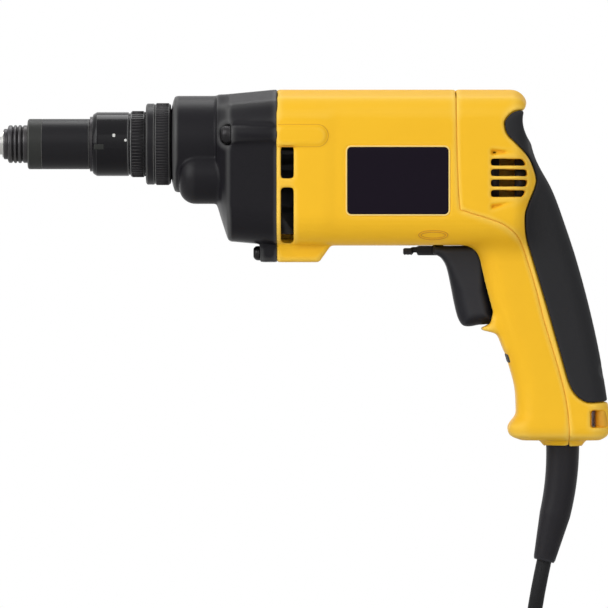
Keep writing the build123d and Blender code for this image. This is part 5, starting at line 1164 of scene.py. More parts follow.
@dataclass
class FrontShell(Body):
    """Motor housing with screw ridges, lug, vents, trigger opening and plate recesses."""

    ridge_x: Point = (-160.0, -112.6)
    ridge_z: Point = (89.7, 99.8)
    ridge_out: float = 38.0
    ridge_round: float = 0.9
    ridge_fillet: float = 0.25
    lug: tuple = (
        (-142.0, 44.0), (-142.0, LUG_BOTTOM_Z), (-116.4, LUG_BOTTOM_Z), (-110.2, 38.2), (-110.2, 44.0),
    )
    lug_fillet: float = 1.0
    rib: Point = (-121.3, 49.5)
    vents: tuple = ((72.7, 89.2), (39.7, 67.7))
    vent_x: Point = (-136.3, -129.9)
    vent_corner: float = 0.6
    vent_inner_y: float = 19.0
    shade_strip: tuple = ((-133.2, 49.2), (4.8, 5.4), 26.5)
    plate_x: Point = (-102.2, -49.1)
    plate_z: Point = (53.7, 89.1)
    plate_corner: float = 2.4
    plate_depth: float = 0.9
    plate_edge: float = 0.4
    mouths: tuple = ((10.1, -4.7, 38.1, -16.5, 2.0, 0.8), (5.0, -23.6, -18.9, -15.0, 0.8, 0.6))
    pin_radius: float = 3.0
    pin_top_z: float = 50.0
    pin_edge: float = 0.5
    trim_y: Point = (4.3, 12.5)
    trim_z: Point = (-23.8, -18.0)
    trim_deep: float = 3.0
    trim_proud: float = 0.4
    floor_x: Point = (-16.0, -12.6)

    def shell(self) -> None:
        """Make the housing itself."""
        space, wide = self.space, self.space.wide
        corner = (self.ridge_z[1] - self.ridge_z[0]) / 2
        ridge = space.window(self.ridge_x, self.ridge_z, corner)
        ridge = meet(ridge, wide - self.ridge_out, self.ridge_round)
        body = join(self.outside, ridge, self.ridge_fillet)
        lug = meet(space.drawn(self.lug), wide - LUG_HALF_WIDTH, LUG_ROUND)
        body = join(body, lug, self.lug_fillet)
        body = common(body, -self.split - SEAM_LAP, JOINT_X - JOINT_LAP - space.x)
        for height in self.vents:
            slot = space.window(self.vent_x, height, self.vent_corner)
            body = cut(body, common(slot, self.vent_inner_y - wide), self.vent_edge)
        recess = space.window(self.plate_x, self.plate_z, self.plate_corner)
        recess = common(recess, BARREL_HALF_WIDTH - self.plate_depth - wide)
        body = cut(body, recess, self.plate_edge)
        for half, low, high, rear, corner, soft in self.mouths:
            mouth = rounded(space.y, space.z - (low + high) / 2, half, (high - low) / 2, corner)
            body = cut(body, common(mouth, space.x - rear), soft)
        pin = common(space.post(LEVER_PIVOT_X, 0.0, self.pin_radius), space.z - self.pin_top_z)
        body = cut(body, pin, self.pin_edge)
        rib_x, rib_z = self.rib
        rib = common(space.x - rib_x, space.z - rib_z, wide - self.vent_rib, self.outside + self.rib_inset,
                     JOINT_X - space.x)
        self.hollowed("motor_housing", body, rib)

    def slot_trim(self) -> None:
        """Make the dark floor of the slot in the handle's front, with dark trim on both sides of it."""
        space = self.space
        skin = common(self.outside - self.trim_proud, -self.outside - self.trim_deep, space.x)
        sides = common(between(space.wide, self.trim_y), skin)
        floor = common(space.wide - self.trim_y[0] - self.step, between(space.x, self.floor_x))
        strip = common(together(sides, floor), between(space.z, self.trim_z))
        settle(skinned("front_slot_trim", strip, space, Finish.SWITCH), "housing", "black_plastic")

    def build(self) -> None:
        """Make the housing, black strips of painted shade behind its lower vents, and the trim of its slot.
        """
        self.shell()
        self.painted_shade_strips("front_vent_shade_strips", *self.shade_strip)
        self.slot_trim()


@dataclass
class RearShells(Body):
    """Rear cover with vents, grooves and lanyard bar, and the rubber grip on the back of the handle."""

    step: float = 0.78
    low: Place = (-47.0, -40.0, -70.0)
    grip_skin: float = 2.2
    grip_gap: float = 0.3
    grip_round: float = 0.8
    pocket_edge: float = 0.5
    rib: Place = (-29.3, 59.5, 84.7)
    vent_x: Point = (-27.3, -8.0)
    vent_z: float = 63.0
    vent_pitch: float = 5.43
    vent_height: float = 3.5
    vent_leans: tuple = ((3.0, 1.0), (1.0, 0.2), (0.2, 1.0), (0.6, 3.2))
    vent_inner_y: float = 16.0
    grooves: tuple = (
        ((-27.3, 87.8), (-27.3, 84.6), (-15.0, 86.4)),
        ((-27.3, 58.8), (-27.3, 56.6), (-14.5, 60.6)),
    )
    groove_depth: float = 2.0
    groove_edge: float = 0.1
    slot_x: Point = (25.0, 27.8)
    slot_z: Point = (-57.2, -48.2)
    slot_corner: float = 0.8
    slot_lean: float = 0.065
    slot_edge: float = 0.4
    recess_y: float = 15.4
    recess_corner: float = 1.0
    bar: Place = (31.8, 12.6, 4.0)
    bar_over: float = 0.4
    bar_sunk: float = 0.3
    shade_strips: tuple = (("front", (-25.4, 73.2), (2.6, 11.2)), ("rear", (-12.0, 73.2), (2.8, 11.2)))
    shade_strip_y: float = 27.0
    screw_head: float = 3.6
    screw_edge: float = 0.4
    plug_depth: float = 0.6

    def __post_init__(self) -> None:
        """Measure the grip's edge too."""
        super().__post_init__()
        self.grip = self.behind(self.grip_edge)

    def cover(self) -> None:
        """Make the rear cover."""
        space, wide = self.space, self.space.wide
        pocket = common(self.grip, -(self.outside + self.grip_skin + self.grip_gap))
        body = cut(self.outside, pocket, self.pocket_edge)
        body = common(body, self.split - SEAM_LAP)
        start, end = self.vent_x
        for index, (below, above) in enumerate(self.vent_leans):
            low = self.vent_z + index * self.vent_pitch
            high = low + self.vent_height
            slot = space.drawn([(start, low), (end - below, low), (end - above, high), (start, high)])
            body = cut(body, common(slot, self.vent_inner_y - wide), self.vent_edge)
        for groove in self.grooves:
            line = common(space.drawn(groove), -(self.outside + self.groove_depth))
            body = cut(body, line, self.groove_edge)
        recess = space.window((self.slot_x[0], self.far), self.slot_z, self.recess_corner)
        body = cut(body, common(recess, self.recess_y - wide), self.slot_edge)
        slot = space.window(self.slot_x, self.slot_z, self.slot_corner, self.slot_lean)
        body = cut(body, slot, self.slot_edge)
        for (y, z), seat in ((COVER_SCREW_TOP, COVER_SEAT_TOP_X), (COVER_SCREW_LOW, COVER_SEAT_LOW_X)):
            body = cut(body, common(space.bar(y, z, self.screw_head), seat - space.x), self.screw_edge)
        rib_x, rib_low, rib_high = self.rib
        rib = common(rib_x - space.x, wide - self.vent_rib, between(space.z, (rib_low, rib_high)),
                     self.outside + self.grip_skin + self.rib_inset)
        self.hollowed("handle_cover", body, rib)

    def rubber(self) -> None:
        """Make the rubber grip, with a shallow plug over each lower screw."""
        space = self.space
        form = meet(self.outside, self.grip + self.grip_gap, self.grip_round)
        screw = space.bar(*COVER_SCREW_LOW, self.screw_head)
        plug = common(screw, -(self.outside + self.plug_depth), -space.x)
        form = cut(form, plug, self.screw_edge)
        skin = common(form, -(self.outside + self.grip_skin))
        piece = skinned("rear_grip_skin", skin, space, Finish.RUBBER, form)
        settle(piece, "housing", "rubber_grip", "rear_grip")

    def lanyard_bars(self) -> None:
        """Make the round faces of the lanyard bar, sunk in both sides of the base, in darker yellow as
        painted shade.
        """
        space = self.space
        ends = between(space.z, self.slot_z) - self.bar_over
        bars = common(space.post(*self.bar), ends, self.outside + self.bar_sunk)
        settle(skinned("lanyard_bars", bars, space, Finish.CREASE), "housing", "yellow_plastic")

    def build(self) -> None:
        """Make cover, grip and lanyard bars, and black strips of painted shade at the ends of the vents."""
        self.cover()
        self.rubber()
        self.lanyard_bars()
        for name, middle, half in self.shade_strips:
            self.painted_shade_strips(f"rear_vent_shade_strips_{name}", middle, half, self.shade_strip_y)


@dataclass
class GearCase:
    """Black gear case: bell, spindle boss, lay shaft bump, neck, screw ridges and lug."""

    step: float = 0.75
    low: Place = (-206.5, -40.0, 27.5)
    high: Place = (-137.0, 40.0, 121.5)
    bell: tuple = (
        (-170.0, 27.0, 29.0, 88.0), (-164.0, 34.5, 38.3, 78.7),
        (JOINT_X, BARREL_HALF_WIDTH, BARREL_HALF_HEIGHT, MOTOR_Z),
    )
    facets: tuple = ((5.0, 52.0), (52.0, 88.0))
    facet_round: float = 0.5
    boss: tuple = ((-205.0, 17.8), (-193.3, 17.8), (-193.2, 23.6), (-191.6, 25.3), (-130.0, 25.3))
    bump: tuple = (-15.14, 73.33, 13.7, -189.6, 8.5)
    lug: tuple = ((LUG_SEAT_X, 44.0), (LUG_SEAT_X, LUG_BOTTOM_Z), (-136.0, LUG_BOTTOM_Z), (-136.0, 44.0))
    lug_fillet: float = 1.5
    fillet: float = 0.8
    wall: float = 3.4
    face_wall: float = 4.0
    room_front_x: float = -186.0
    room_floor_z: float = 41.5
    bore: Point = (14.45, -180.0)
    clutch_room: Place = (15.6, -190.0, -165.0)
    head_room: float = 5.3
    pocket_wall: float = 1.8
    low_head_room: float = 4.1
    screw_edge: float = 0.4

    def formed(self, space: Space, back: float) -> np.ndarray:
        """Field of the bell alone.

        Args:
            space: where the samples lie.
            back: how far the bell is moved back along X.

        Returns:
            The field, below 0 inside.
        """
        x = space.x - back
        stations, halves, heights, middles = zip(*self.bell)
        half, height, middle = (np.interp(x, stations, v) for v in (halves, heights, middles))
        bell = rounded(space.y, space.z - middle, half, height, BARREL_CORNER)
        top = MOTOR_Z + BARREL_HALF_HEIGHT
        for facet in self.facets:
            flat = flat_of_corner(space, facet, BARREL_HALF_WIDTH - half, top - middle - height)
            bell = meet(bell, flat, self.facet_round)
        return common(bell, stations[0] - x)

    def build(self) -> None:
        """Make the case."""
        space = Space(self.low, self.high, self.step)
        x = space.x
        radial = space.bar(0.0, SPINDLE_Z, 0.0)
        ends, radii = zip(*self.boss)
        boss = common(radial - np.interp(x, ends, radii), ends[0] - x)
        bump_y, bump_z, bump_radius, bump_x, bump_round = self.bump
        bump = meet(np.hypot(space.y - bump_y, space.z - bump_z) - bump_radius, bump_x - x, bump_round)
        rib = space.bar(RIDGE_Y, RIDGE_Z, 0.0)
        ridge = common(rib - RIDGE_RADIUS, CASE_SCREW_SEAT_X - x)
        body = self.formed(space, 0.0)
        for part in (boss, bump, ridge):
            body = join(body, part, self.fillet)
        lug = meet(space.drawn(self.lug), space.wide - LUG_HALF_WIDTH, LUG_ROUND)
        body = join(body, lug, self.lug_fillet)
        deep = together(boss, bump, self.formed(space, self.face_wall))
        room = common(common(body, deep) + self.wall, self.room_front_x - x, self.room_floor_z - space.z,
                      self.head_room + self.pocket_wall - rib)
        bore_radius, bore_end = self.bore
        bore = common(radial - bore_radius, x - bore_end)
        clutch_radius, *clutch_ends = self.clutch_room
        room = together(room, bore, common(radial - clutch_radius, between(x, clutch_ends)))
        low_head = space.bar(LUG_SCREW_Y, LUG_SCREW_Z, self.low_head_room)
        body = cut(body, common(rib - self.head_room, x - CASE_SCREW_SEAT_X), self.screw_edge)
        body = cut(body, common(low_head, x - LUG_SEAT_X), self.screw_edge)
        body = common(body, x - JOINT_X - JOINT_LAP)
        piece = skinned("gear_case_shell", common(body, -room), space, Finish.CASE, body)
        settle(piece, "housing", "black_case", "gear_case")


@dataclass
class Nose:
    """Lock ring, adjusting collar, nose sleeve and bit sleeve, turned about the spindle line."""

    lock: tuple = (
        (-207.2, 18.05), (-207.2, 20.5), (-206.5, 21.3), (-202.9, 21.3), (-202.7, 20.8), (-202.3, 20.8),
        (-202.1, 21.25), (-194.9, 21.25), (-194.2, 20.5), (-194.2, 18.05),
    )
    knurl: tuple = (84, 21.12, -198.5, 6.4, 0.85)
    collar: tuple = (
        (-235.2, 14.7), (-235.2, 15.2), (-234.7, 15.8), (-233.0, 16.8), (-216.3, 16.8), (-216.1, 16.2),
        (-215.4, 16.2), (-215.2, 17.1), (-208.0, 17.1), (-207.5, 16.8), (-207.5, 15.5), (-214.0, 15.5),
        (-214.4, 14.7),
    )
    scale: tuple = (60, 17.0, -211.5, 6.0, 0.8)
    collar_radius: float = 16.8
    specks: tuple = (((-223.7, 4.2), (0.75, 0.9)), ((-217.6, 1.6), (0.7, 0.7)))
    pad: tuple = ((-231.6, -1.9), (2.6, 1.4))
    mark_corner: float = 0.5
    mark_layers: tuple = ((0.0, -0.3), (0.0, 0.05), (0.15, 0.12))
    sleeve: tuple = (
        (-261.8, 8.45), (-261.8, 13.15), (-261.6, 13.2), (-236.9, 13.2), (-236.6, 12.4), (-226.6, 12.15),
        (-226.6, 8.45),
    )
    band: tuple = (
        (-269.3, 10.6), (-269.3, 12.5), (-268.7, 13.2), (-262.0, 13.2), (-261.8, 13.15), (-261.8, 10.6),
    )
    bit_sleeve: tuple = (
        (-282.0, 7.3), (-282.0, 7.6), (-281.6, 8.0), (-279.9, 8.0), (-279.6, 9.3), (-279.0, 9.9),
        (-277.7, 9.9), (-277.2, 9.4), (-277.1, 9.0), (-276.8, 9.0), (-276.7, 9.4), (-276.2, 10.0),
        (-275.4, 10.0), (-274.9, 9.4), (-274.8, 9.0), (-274.5, 9.0), (-274.4, 9.4), (-273.9, 10.0),
        (-272.9, 10.0), (-272.4, 9.4), (-272.3, 9.0), (-272.0, 9.0), (-271.9, 9.4), (-271.4, 9.9),
        (-270.3, 9.9), (-265.0, 9.8), (-265.0, 7.3),
    )
    bit_soft: float = 0.2

    def on_collar(self, x: np.ndarray, rise: np.ndarray, height: float) -> np.ndarray:
        """Points on the collar's left side.

        Args:
            x: places along X.
            rise: distances round the collar, upward from the level of the spindle line.
            height: height over its surface.

        Returns:
            The points.
        """
        radius = self.collar_radius + height
        turn = rise / self.collar_radius
        return np.stack([x, -np.cos(turn) * radius, SPINDLE_Z + np.sin(turn) * radius], -1)

    def row(self, name: str, finish: Finish, numbers: Sequence[float]) -> Piece:
        """Ribs round the spindle line.

        Args:
            name: the piece's name.
            finish: what they are dressed in.
            numbers: their count, ring radius, place along X, length and thickness.

        Returns:
            The new object.
        """
        count, radius, x, length, thickness = numbers
        grower = RibRow(f"{name}_row", Way.ROUND, finish)
        return grower.grow(name, Count=int(count), Radius=radius * MM, Place=(x * MM, 0.0, SPINDLE_Z * MM),
                           Length=length * MM, Thickness=thickness * MM)

    def build(self) -> None:
        """Turn the rings, grow their ribs and lay the marks."""
        settle(turned("lock_ring_turned", self.lock, Finish.SLEEVE), "lock", "black_steel", "lock_ring")
        settle(self.row("lock_ring_knurl", Finish.KNURL, self.knurl), "lock", "black_steel")
        collar = turned("adjusting_collar_turned", self.collar, Finish.GLOSS)
        settle(collar, "collar", "black_plastic", "adjusting_collar")
        settle(self.row("adjusting_collar_scale", Finish.KNURL, self.scale), "collar", "black_plastic")
        marks = [("speck_upper", self.specks[0], Finish.MARK), ("speck_lower", self.specks[1], Finish.MARK),
                 ("index_pad", self.pad, Finish.BAND)]
        for name, (middle, half), finish in marks:
            mark = panel(f"collar_{name}", middle, half, self.mark_corner, self.mark_layers, [self.on_collar],
                         finish)
            settle(mark, "collar", "black_plastic")
        sleeve = turned("nose_sleeve_turned", self.sleeve, Finish.SLEEVE)
        settle(sleeve, "housing", "black_steel", "nose_sleeve")
        settle(turned("nose_band_turned", self.band, Finish.BAND), "housing", "black_steel")
        holder = turned("bit_sleeve_turned", self.bit_sleeve, Finish.TURNED, self.bit_soft)
        settle(holder, "bit_holder", "sleeve_steel", "bit_sleeve")


@dataclass
class Controls:
    """Trigger and reversing lever."""

    step: float = 0.5
    room: tuple = ((-58.5, -11.0, -6.0), (-9.5, 11.0, 39.5))
    front: tuple = (
        (-57.0, 33.3), (-54.4, 32.9), (-52.0, 31.1), (-49.6, 26.7), (-47.6, 17.9), (-45.9, 9.0), (-44.3, 2.2),
        (-42.7, -1.8), (-40.7, -4.0), (-37.5, -4.4), (-33.1, -3.6),
    )
    back: tuple = ((-24.2, -3.0), (-23.6, -1.8), (-30.0, 30.0), (-33.0, 37.9), (-57.0, 37.9))
    half_width: float = 9.8
    edge_round: tuple = ((14.0, 7.0), (29.0, 3.2))
    fork_y: float = 5.4
    fork_z: float = 32.6
    fork_rear_x: float = -48.0
    fork_edge: float = 0.6
    stem: tuple = (14.0, 2.6, (-32.0, -11.0))
    pocket: Point = (5.6, -28.0)
    pocket_edge: float = 0.4
    lever_step: float = 0.4
    lever_room: tuple = ((-74.0, -6.5, 31.5), (-49.0, 6.5, 44.0))
    lever_round: float = 0.6
    lever_x: float = -65.0
    lever_z: Point = (32.9, 37.9)
    lever_half: float = 3.8
    neck: tuple = ((-68.0, -64.0), (34.4, 37.3), 3.4)
    tab_x: Point = (-72.4, -67.2)
    tab_z: Point = (33.3, 36.7)
    tab_half: float = 5.0
    tab_corner: float = 2.0
    pin: tuple = (2.5, 41.5, 4.0, 42.7)
    tab_ribs: tuple = (3, 1.7, -71.5, 33.5, 8.4, 0.8)

    def trigger(self) -> None:
        """Make the trigger blade with its fork round the lever, spring pocket and stem."""
        space = Space(*self.room, self.step)
        blade = space.drawn([*flowing(self.front), *self.back])
        body = meet(blade, space.wide - self.half_width, np.interp(space.z, *zip(*self.edge_round)))
        fork = common(space.wide - self.fork_y, self.fork_z - space.z, space.x - self.fork_rear_x)
        body = cut(body, fork, self.fork_edge)
        stem_z, stem_radius, stem_x = self.stem
        radial = space.bar(0.0, stem_z, 0.0)
        pocket_radius, pocket_x = self.pocket
        body = cut(body, common(radial - pocket_radius, pocket_x - space.x), self.pocket_edge)
        stem = common(radial - stem_radius, between(space.x, stem_x))
        piece = skinned("trigger_blade_skin", together(body, stem), space, Finish.TRIGGER)
        settle(piece, "trigger_blade", "black_plastic", "trigger")

    def lever(self) -> None:
        """Make the reversing lever with its ribbed tab and pivot pin."""
        space = Space(*self.lever_room, self.lever_step)
        side = np.hypot(np.maximum(space.x - LEVER_PIVOT_X, 0), space.y) - self.lever_half
        bar = common(side, self.lever_x - space.x)
        bar = meet(bar, between(space.z, self.lever_z), self.lever_round)
        neck_x, neck_z, neck_half = self.neck
        neck = common(between(space.x, neck_x), between(space.z, neck_z), space.wide - neck_half)
        middle = sum(self.tab_x) / 2
        tab = rounded(space.x - middle, space.y, self.tab_x[1] - middle, self.tab_half, self.tab_corner)
        tab = meet(tab, between(space.z, self.tab_z), self.lever_round)
        pin_radius, pin_top, head_radius, head_top = self.pin
        post = space.post(LEVER_PIVOT_X, 0.0, 0.0)
        pin = common(post - pin_radius, between(space.z, (sum(self.lever_z) / 2, pin_top)))
        head = common(post - head_radius, between(space.z, (pin_top, head_top)))
        body = join(join(bar, neck, self.lever_round), tab, self.lever_round)
        piece = skinned("reverse_lever_skin", together(body, pin, head), space, Finish.TRIGGER)
        settle(piece, "reverser", "black_plastic", "reverse_lever")
        count, pitch, x, z, length, thickness = self.tab_ribs
        grower = RibRow("lever_tab_row", Way.ALONG, Finish.TRIGGER)
        ribs = grower.grow("reverse_lever_ribs", Count=count, Pitch=(pitch * MM, 0.0, 0.0),
                           Place=(x * MM, 0.0, z * MM), Length=length * MM, Thickness=thickness * MM)
        settle(ribs, "reverser", "black_plastic")

    def build(self) -> None:
        """Make trigger and lever."""
        self.trigger()
        self.lever()


@dataclass
class Trim:
    """Bare name plates with pale rims as a painted highlight, the beads of the ovals and the screw ridges in
    darker yellow as painted shade, and the screws.
    """

    plate_middle: Point = (-75.65, 71.4)
    plate_half: Point = (26.25, 17.4)
    plate_corner: float = 2.1
    plate_layers: tuple = ((0.0, -0.85), (0.0, -0.3), (0.25, -0.12), (1.0, -0.12))
    rim_half: Point = (27.1, 18.25)
    rim_corner: float = 2.9
    rim_layers: tuple = ((0.0, -0.5), (0.0, 0.02), (0.2, 0.12), (0.55, 0.12), (0.75, 0.0), (0.75, -0.5))
    oval_middle: Point = (-57.2, 43.2)
    oval_halves: tuple = ((7.6, 2.4), (6.3, 1.5))
    oval_steps: int = 72
    bead: float = 0.26
    bead_sides: int = 8
    ridge_x: Point = (-138.0, -111.8)
    ridge_z: Point = (89.0, 100.5)
    ridge_sunk: float = 2.5
    ridge_spans: int = 9
    ridge_steps: int = 25
    hair: float = 0.05
    case_head: tuple = ((1.4, hair), (1.4, 1.9), (0.1, 1.9), (0.0, 2.6), (0.5, 3.7), (1.6, 4.55), (3.2, 4.9))
    lug_head: tuple = ((1.2, hair), (1.2, 1.5), (0.1, 1.5), (0.0, 2.0), (0.4, 2.8), (1.2, 3.5), (2.2, 3.7))
    case_front_x: float = -167.9
    lug_front_x: float = -150.9
    shank: Point = (2.35, -123.6)
    case_turning: tuple = (0.4, 48)
    cover_head: tuple = ((1.4, hair), (1.4, 1.9), (2.6, 1.9), (2.6, 2.9), (2.1, 3.4), (0.0, 3.4))
    cover_shank: Point = (1.6, 14.0)
    cover_turning: tuple = (0.3, 40)

    def plates(self) -> None:
        """Bare plates and the pale rims round them, a painted highlight of the recess edge."""
        sides = both_sides(BARREL_HALF_WIDTH)
        plates = panel("name_plates_bare", self.plate_middle, self.plate_half, self.plate_corner,
                       self.plate_layers, sides, Finish.PLATE)
        settle(plates, "housing", "plate_black", "name_plates")
        rims = panel("name_plate_rims", self.plate_middle, self.rim_half, self.rim_corner, self.rim_layers,
                     sides, Finish.RIM_HIGHLIGHT, looped=True)
        settle(rims, "housing", "yellow_plastic")

    def beads(self, name: str, lines: Sequence[tuple]) -> None:
        """Lay fine closed beads on the shell, in darker yellow as painted shade.

        Args:
            name: the piece's name.
            lines: for each bead, its points and the way out of the surface at each.
        """
        section = full_turn(self.bead_sides)[None, :, None]
        sets = []
        for line, out in lines:
            ahead = np.roll(line, -1, 0) - np.roll(line, 1, 0)
            across = np.cross(out, ahead / np.linalg.norm(ahead, axis=1)[:, None])
            ring = np.cos(section) * across[:, None] + np.sin(section) * out[:, None]
            sets.append(line[:, None] + ring * self.bead)
        piece = ringed(name, sets, Finish.CREASE, looped=True, edges=0.0)
        settle(piece, "housing", "yellow_plastic")

    def ovals(self) -> None:
        """Two fine raised ovals low on the left side, where the barrel rounds under."""
        turns = full_turn(self.oval_steps)
        middle_y = BARREL_CORNER - BARREL_HALF_WIDTH
        middle_z = MOTOR_Z - BARREL_HALF_HEIGHT + BARREL_CORNER
        lines = []
        for half_x, half_z in self.oval_halves:
            x = self.oval_middle[0] + half_x * np.cos(turns)
            z = self.oval_middle[1] + half_z * np.sin(turns)
            rise = np.arcsin((z - middle_z) / BARREL_CORNER)
            out = np.stack([np.zeros_like(x), -np.cos(rise), np.sin(rise)], -1)
            axis = np.stack([x, np.full_like(x, middle_y), np.full_like(x, middle_z)], -1)
            lines.append((axis + out * BARREL_CORNER, out))
        self.beads("side_ovals", lines)

    def ridge_lines(self) -> None:
        """Fine outline of the screw ridge on each side, closed inside the wall beside the gear case."""
        start, end = self.ridge_x
        low, high = self.ridge_z
        radius = (high - low) / 2
        turns = np.linspace(-math.pi / 2, math.pi / 2, self.ridge_steps)
        straight = np.linspace(start + self.bead, end - radius, self.ridge_spans, endpoint=False)
        straight = np.append(start, straight)
        below, above = (np.full_like(straight, level) for level in (low, high))
        x = np.concatenate([straight, end - radius + radius * np.cos(turns), straight[::-1]])
        z = np.concatenate([below, (low + high) / 2 + radius * np.sin(turns), above])
        y = BARREL_HALF_WIDTH + glide(x, *zip(*FLARE))
        y[[0, -1]] -= self.ridge_sunk
        out = np.tile((0.0, 1.0, 0.0), (len(x), 1))
        self.beads("ridge_outlines", [(np.stack([x, side * y, z], -1), side * out) for side in (-1.0, 1.0)])

    def front_screws(self) -> None:
        """Domed socket screws of the gear case: two beside the spindle, two in the lug."""
        kinds = (
            ("case_screws_turned", self.case_head, self.case_front_x, CASE_SCREW_SEAT_X, RIDGE_Y, RIDGE_Z),
            ("lug_screws_turned", self.lug_head, self.lug_front_x, LUG_SEAT_X, LUG_SCREW_Y, LUG_SCREW_Z),
        )
        thin, end = self.shank
        for name, head, front, seat, y, z in kinds:
            outline = [*((front + x, r) for x, r in head), (seat, head[-1][1]), (seat, thin), (end, thin),
                       (end, self.hair)]
            piece = turned(name, outline, Finish.BLACKED, *self.case_turning, ((-y, z), (y, z)))
            settle(piece, "housing", "black_steel", "gear_case_screws")

    def rear_screws(self) -> None:
        """Screws of the rear cover, one on top and two low in the handle."""
        thin, length = self.cover_shank
        low_y, low_z = COVER_SCREW_LOW
        kinds = (("cover_screw_top", COVER_SEAT_TOP_X, (COVER_SCREW_TOP,)),
                 ("cover_screws_low", COVER_SEAT_LOW_X, ((-low_y, low_z), (low_y, low_z))))
        for name, seat, lines in kinds:
            outline = [*((seat + x, r) for x, r in self.cover_head), (seat, thin), (seat - length, thin),
                       (seat - length, self.hair)]
            piece = turned(name, outline, Finish.BLACKED, *self.cover_turning, lines)
            settle(piece, "housing", "bright_steel", "handle_cover_screws")

    def build(self) -> None:
        """Lay the trim."""
        self.plates()
        self.ovals()
        self.ridge_lines()
        self.front_screws()
        self.rear_screws()


@dataclass
class Lead:
    """Mains lead: boot, cord with its coil, and plug."""

    radius: float = 3.9
    length: float = 2.006
    bevel_steps: int = 5
    line_order: int = 3
    line_steps: int = 6
    top_z: float = -27.0
    drop: tuple = ((CORD_X, 0.0, -86.0), (-2.9, 0.0, -146.3), (-6.0, 14.0, -184.0), (-15.2, 35.8, -203.0))
    coil_middle: Point = (-66.0, 12.0)
    turn_step: float = 15.0
    spread: tuple = (
        (55, 56), (270, 56), (360, 48), (630, 48), (720, 40), (990, 40), (1080, 32), (1530, 32), (1620, 40),
        (1890, 40), (1980, 48), (2250, 48), (2340, 56), (2430, 56),
    )
    climb: tuple = ((55, -206.8), (1260, -206.8), (1350, -198.8), (2430, -198.8))
    tail: tuple = (-52.0, -36.0, -19.0)
    boot_bend: float = 150.0
    boot_arc: float = 35.0
    boot_rows: tuple = (
        (-7.4, 10.6), (-4.5, 10.6), (-4.4, 8.8), (0.0, 8.7), (17.5, 8.4), (35.0, 8.1), (58.6, 5.8),
        (60.0, 5.3),
    )
    boot_bore: float = 4.15
    boot_step: float = 3.0
    boot_sides: int = 48
    inner_runs: Point = (-7.0, -0.3)
    plug_line: Point = (-44.0, -198.8)
    plug_rows: tuple = (
        (-20.0, 5.6, 5.6), (-13.0, 6.4, 6.4), (-3.0, 11.4, 10.4), (4.0, 12.8, 12.9), (16.0, 12.8, 12.9),
    )
    plug_step: float = 0.7
    plug_room: Point = (1.5, 14.5)
    plug_corner: float = 0.6
    plug_round: float = 1.5
    plug_ridges: tuple = (-1.0, 3.5, 8.0)
    plug_groove: Place = (0.8, 0.9, 0.6)
    plug_hole: Point = (0.1, 0.3)

    def cord(self, pieces: Sequence[Any]) -> None:
        """Cord from the boot, down to its coil and out to the plug.

        Args:
            pieces: what sits on the cord, which is not used.
        """
        angles = np.arange(self.spread[0][0], self.spread[-1][0] + 1, self.turn_step)
        radii = glide(angles, *zip(*self.spread))
        heights = glide(angles, *zip(*self.climb))
        middle_x, middle_y = self.coil_middle
        turns = np.radians(angles)
        coil = zip(middle_x + radii * np.cos(turns), middle_y + radii * np.sin(turns), heights)
        plug_y, plug_z = self.plug_line
        route = [(CORD_X, 0.0, HUB_BOTTOM_Z), *self.drop, *coil, *((x, plug_y, plug_z) for x in self.tail)]
        curve = bpy.data.curves.new("mains_cord", "CURVE")
        curve.dimensions = "3D"
        curve.bevel_depth = self.radius * MM
        curve.bevel_resolution = self.bevel_steps
        curve.use_fill_caps = True
        line = curve.splines.new("NURBS")
        line.points.add(len(route) - 1)
        for point, place in zip(line.points, route):
            point.co = (*(float(c) * MM for c in place), 1.0)
        line.order_u = self.line_order
        line.use_endpoint_u = True
        line.resolution_u = self.line_steps
        curve.materials.append(Finish.LEAD.material)
        piece = linked("mains_cord", curve)
        settle(piece, "housing", "black_rubber", "power_cord", "cord_coil", "cord_tail")

    def rings(self, rows: Sequence[Point]) -> np.ndarray:
        """Rings round the boot's line.

        Args:
            rows: for each ring, its distance along the line and its radius.

        Returns:
            The rings, as an array of ring, point and coordinate.
        """
        runs, radii = np.array(rows).T
        bend = np.clip(runs, 0, self.boot_arc) / self.boot_bend
        beyond = np.maximum(runs - self.boot_arc, 0)
        x = CORD_X - self.boot_bend * (1 - np.cos(bend)) - beyond * np.sin(bend)
        z = HUB_BOTTOM_Z - np.minimum(runs, 0) - self.boot_bend * np.sin(bend) - beyond * np.cos(bend)
        turns = full_turn(self.boot_sides)[None, :]
        level = np.cos(turns) * radii[:, None]
        rings = np.empty((len(runs), turns.size, 3))
        rings[:, :, 0] = x[:, None] + level * np.cos(bend)[:, None]
        rings[:, :, 1] = np.sin(turns) * radii[:, None]
        rings[:, :, 2] = z[:, None] - level * np.sin(bend)[:, None]
        return rings

    def boot(self) -> Piece:
        """Tapered rubber boot with a flange inside the hub.

        Returns:
            The new object.
        """
        runs, radii = zip(*self.boot_rows)
        steps = sorted({*runs, *np.arange(runs[2], runs[-1], self.boot_step)})
        outer = [(run, float(np.interp(run, runs, radii))) for run in steps]
        inner = [(run, self.boot_bore) for run in steps]
        piece = ringed("cord_boot", [self.rings([*outer, *inner[::-1]])], Finish.BOOT, looped=True)
        return settle(piece, "housing", "black_rubber", "strain_relief")

    def inner_end(self) -> None:
        """Make the short end of the cord inside the handle, up to the clamp."""
        rows = [(run, self.radius) for run in (HUB_BOTTOM_Z - self.top_z, *self.inner_runs)]
        piece = ringed("mains_cord_inside", [self.rings(rows)], Finish.LEAD, looped=False)
        settle(piece, "housing", "black_rubber")

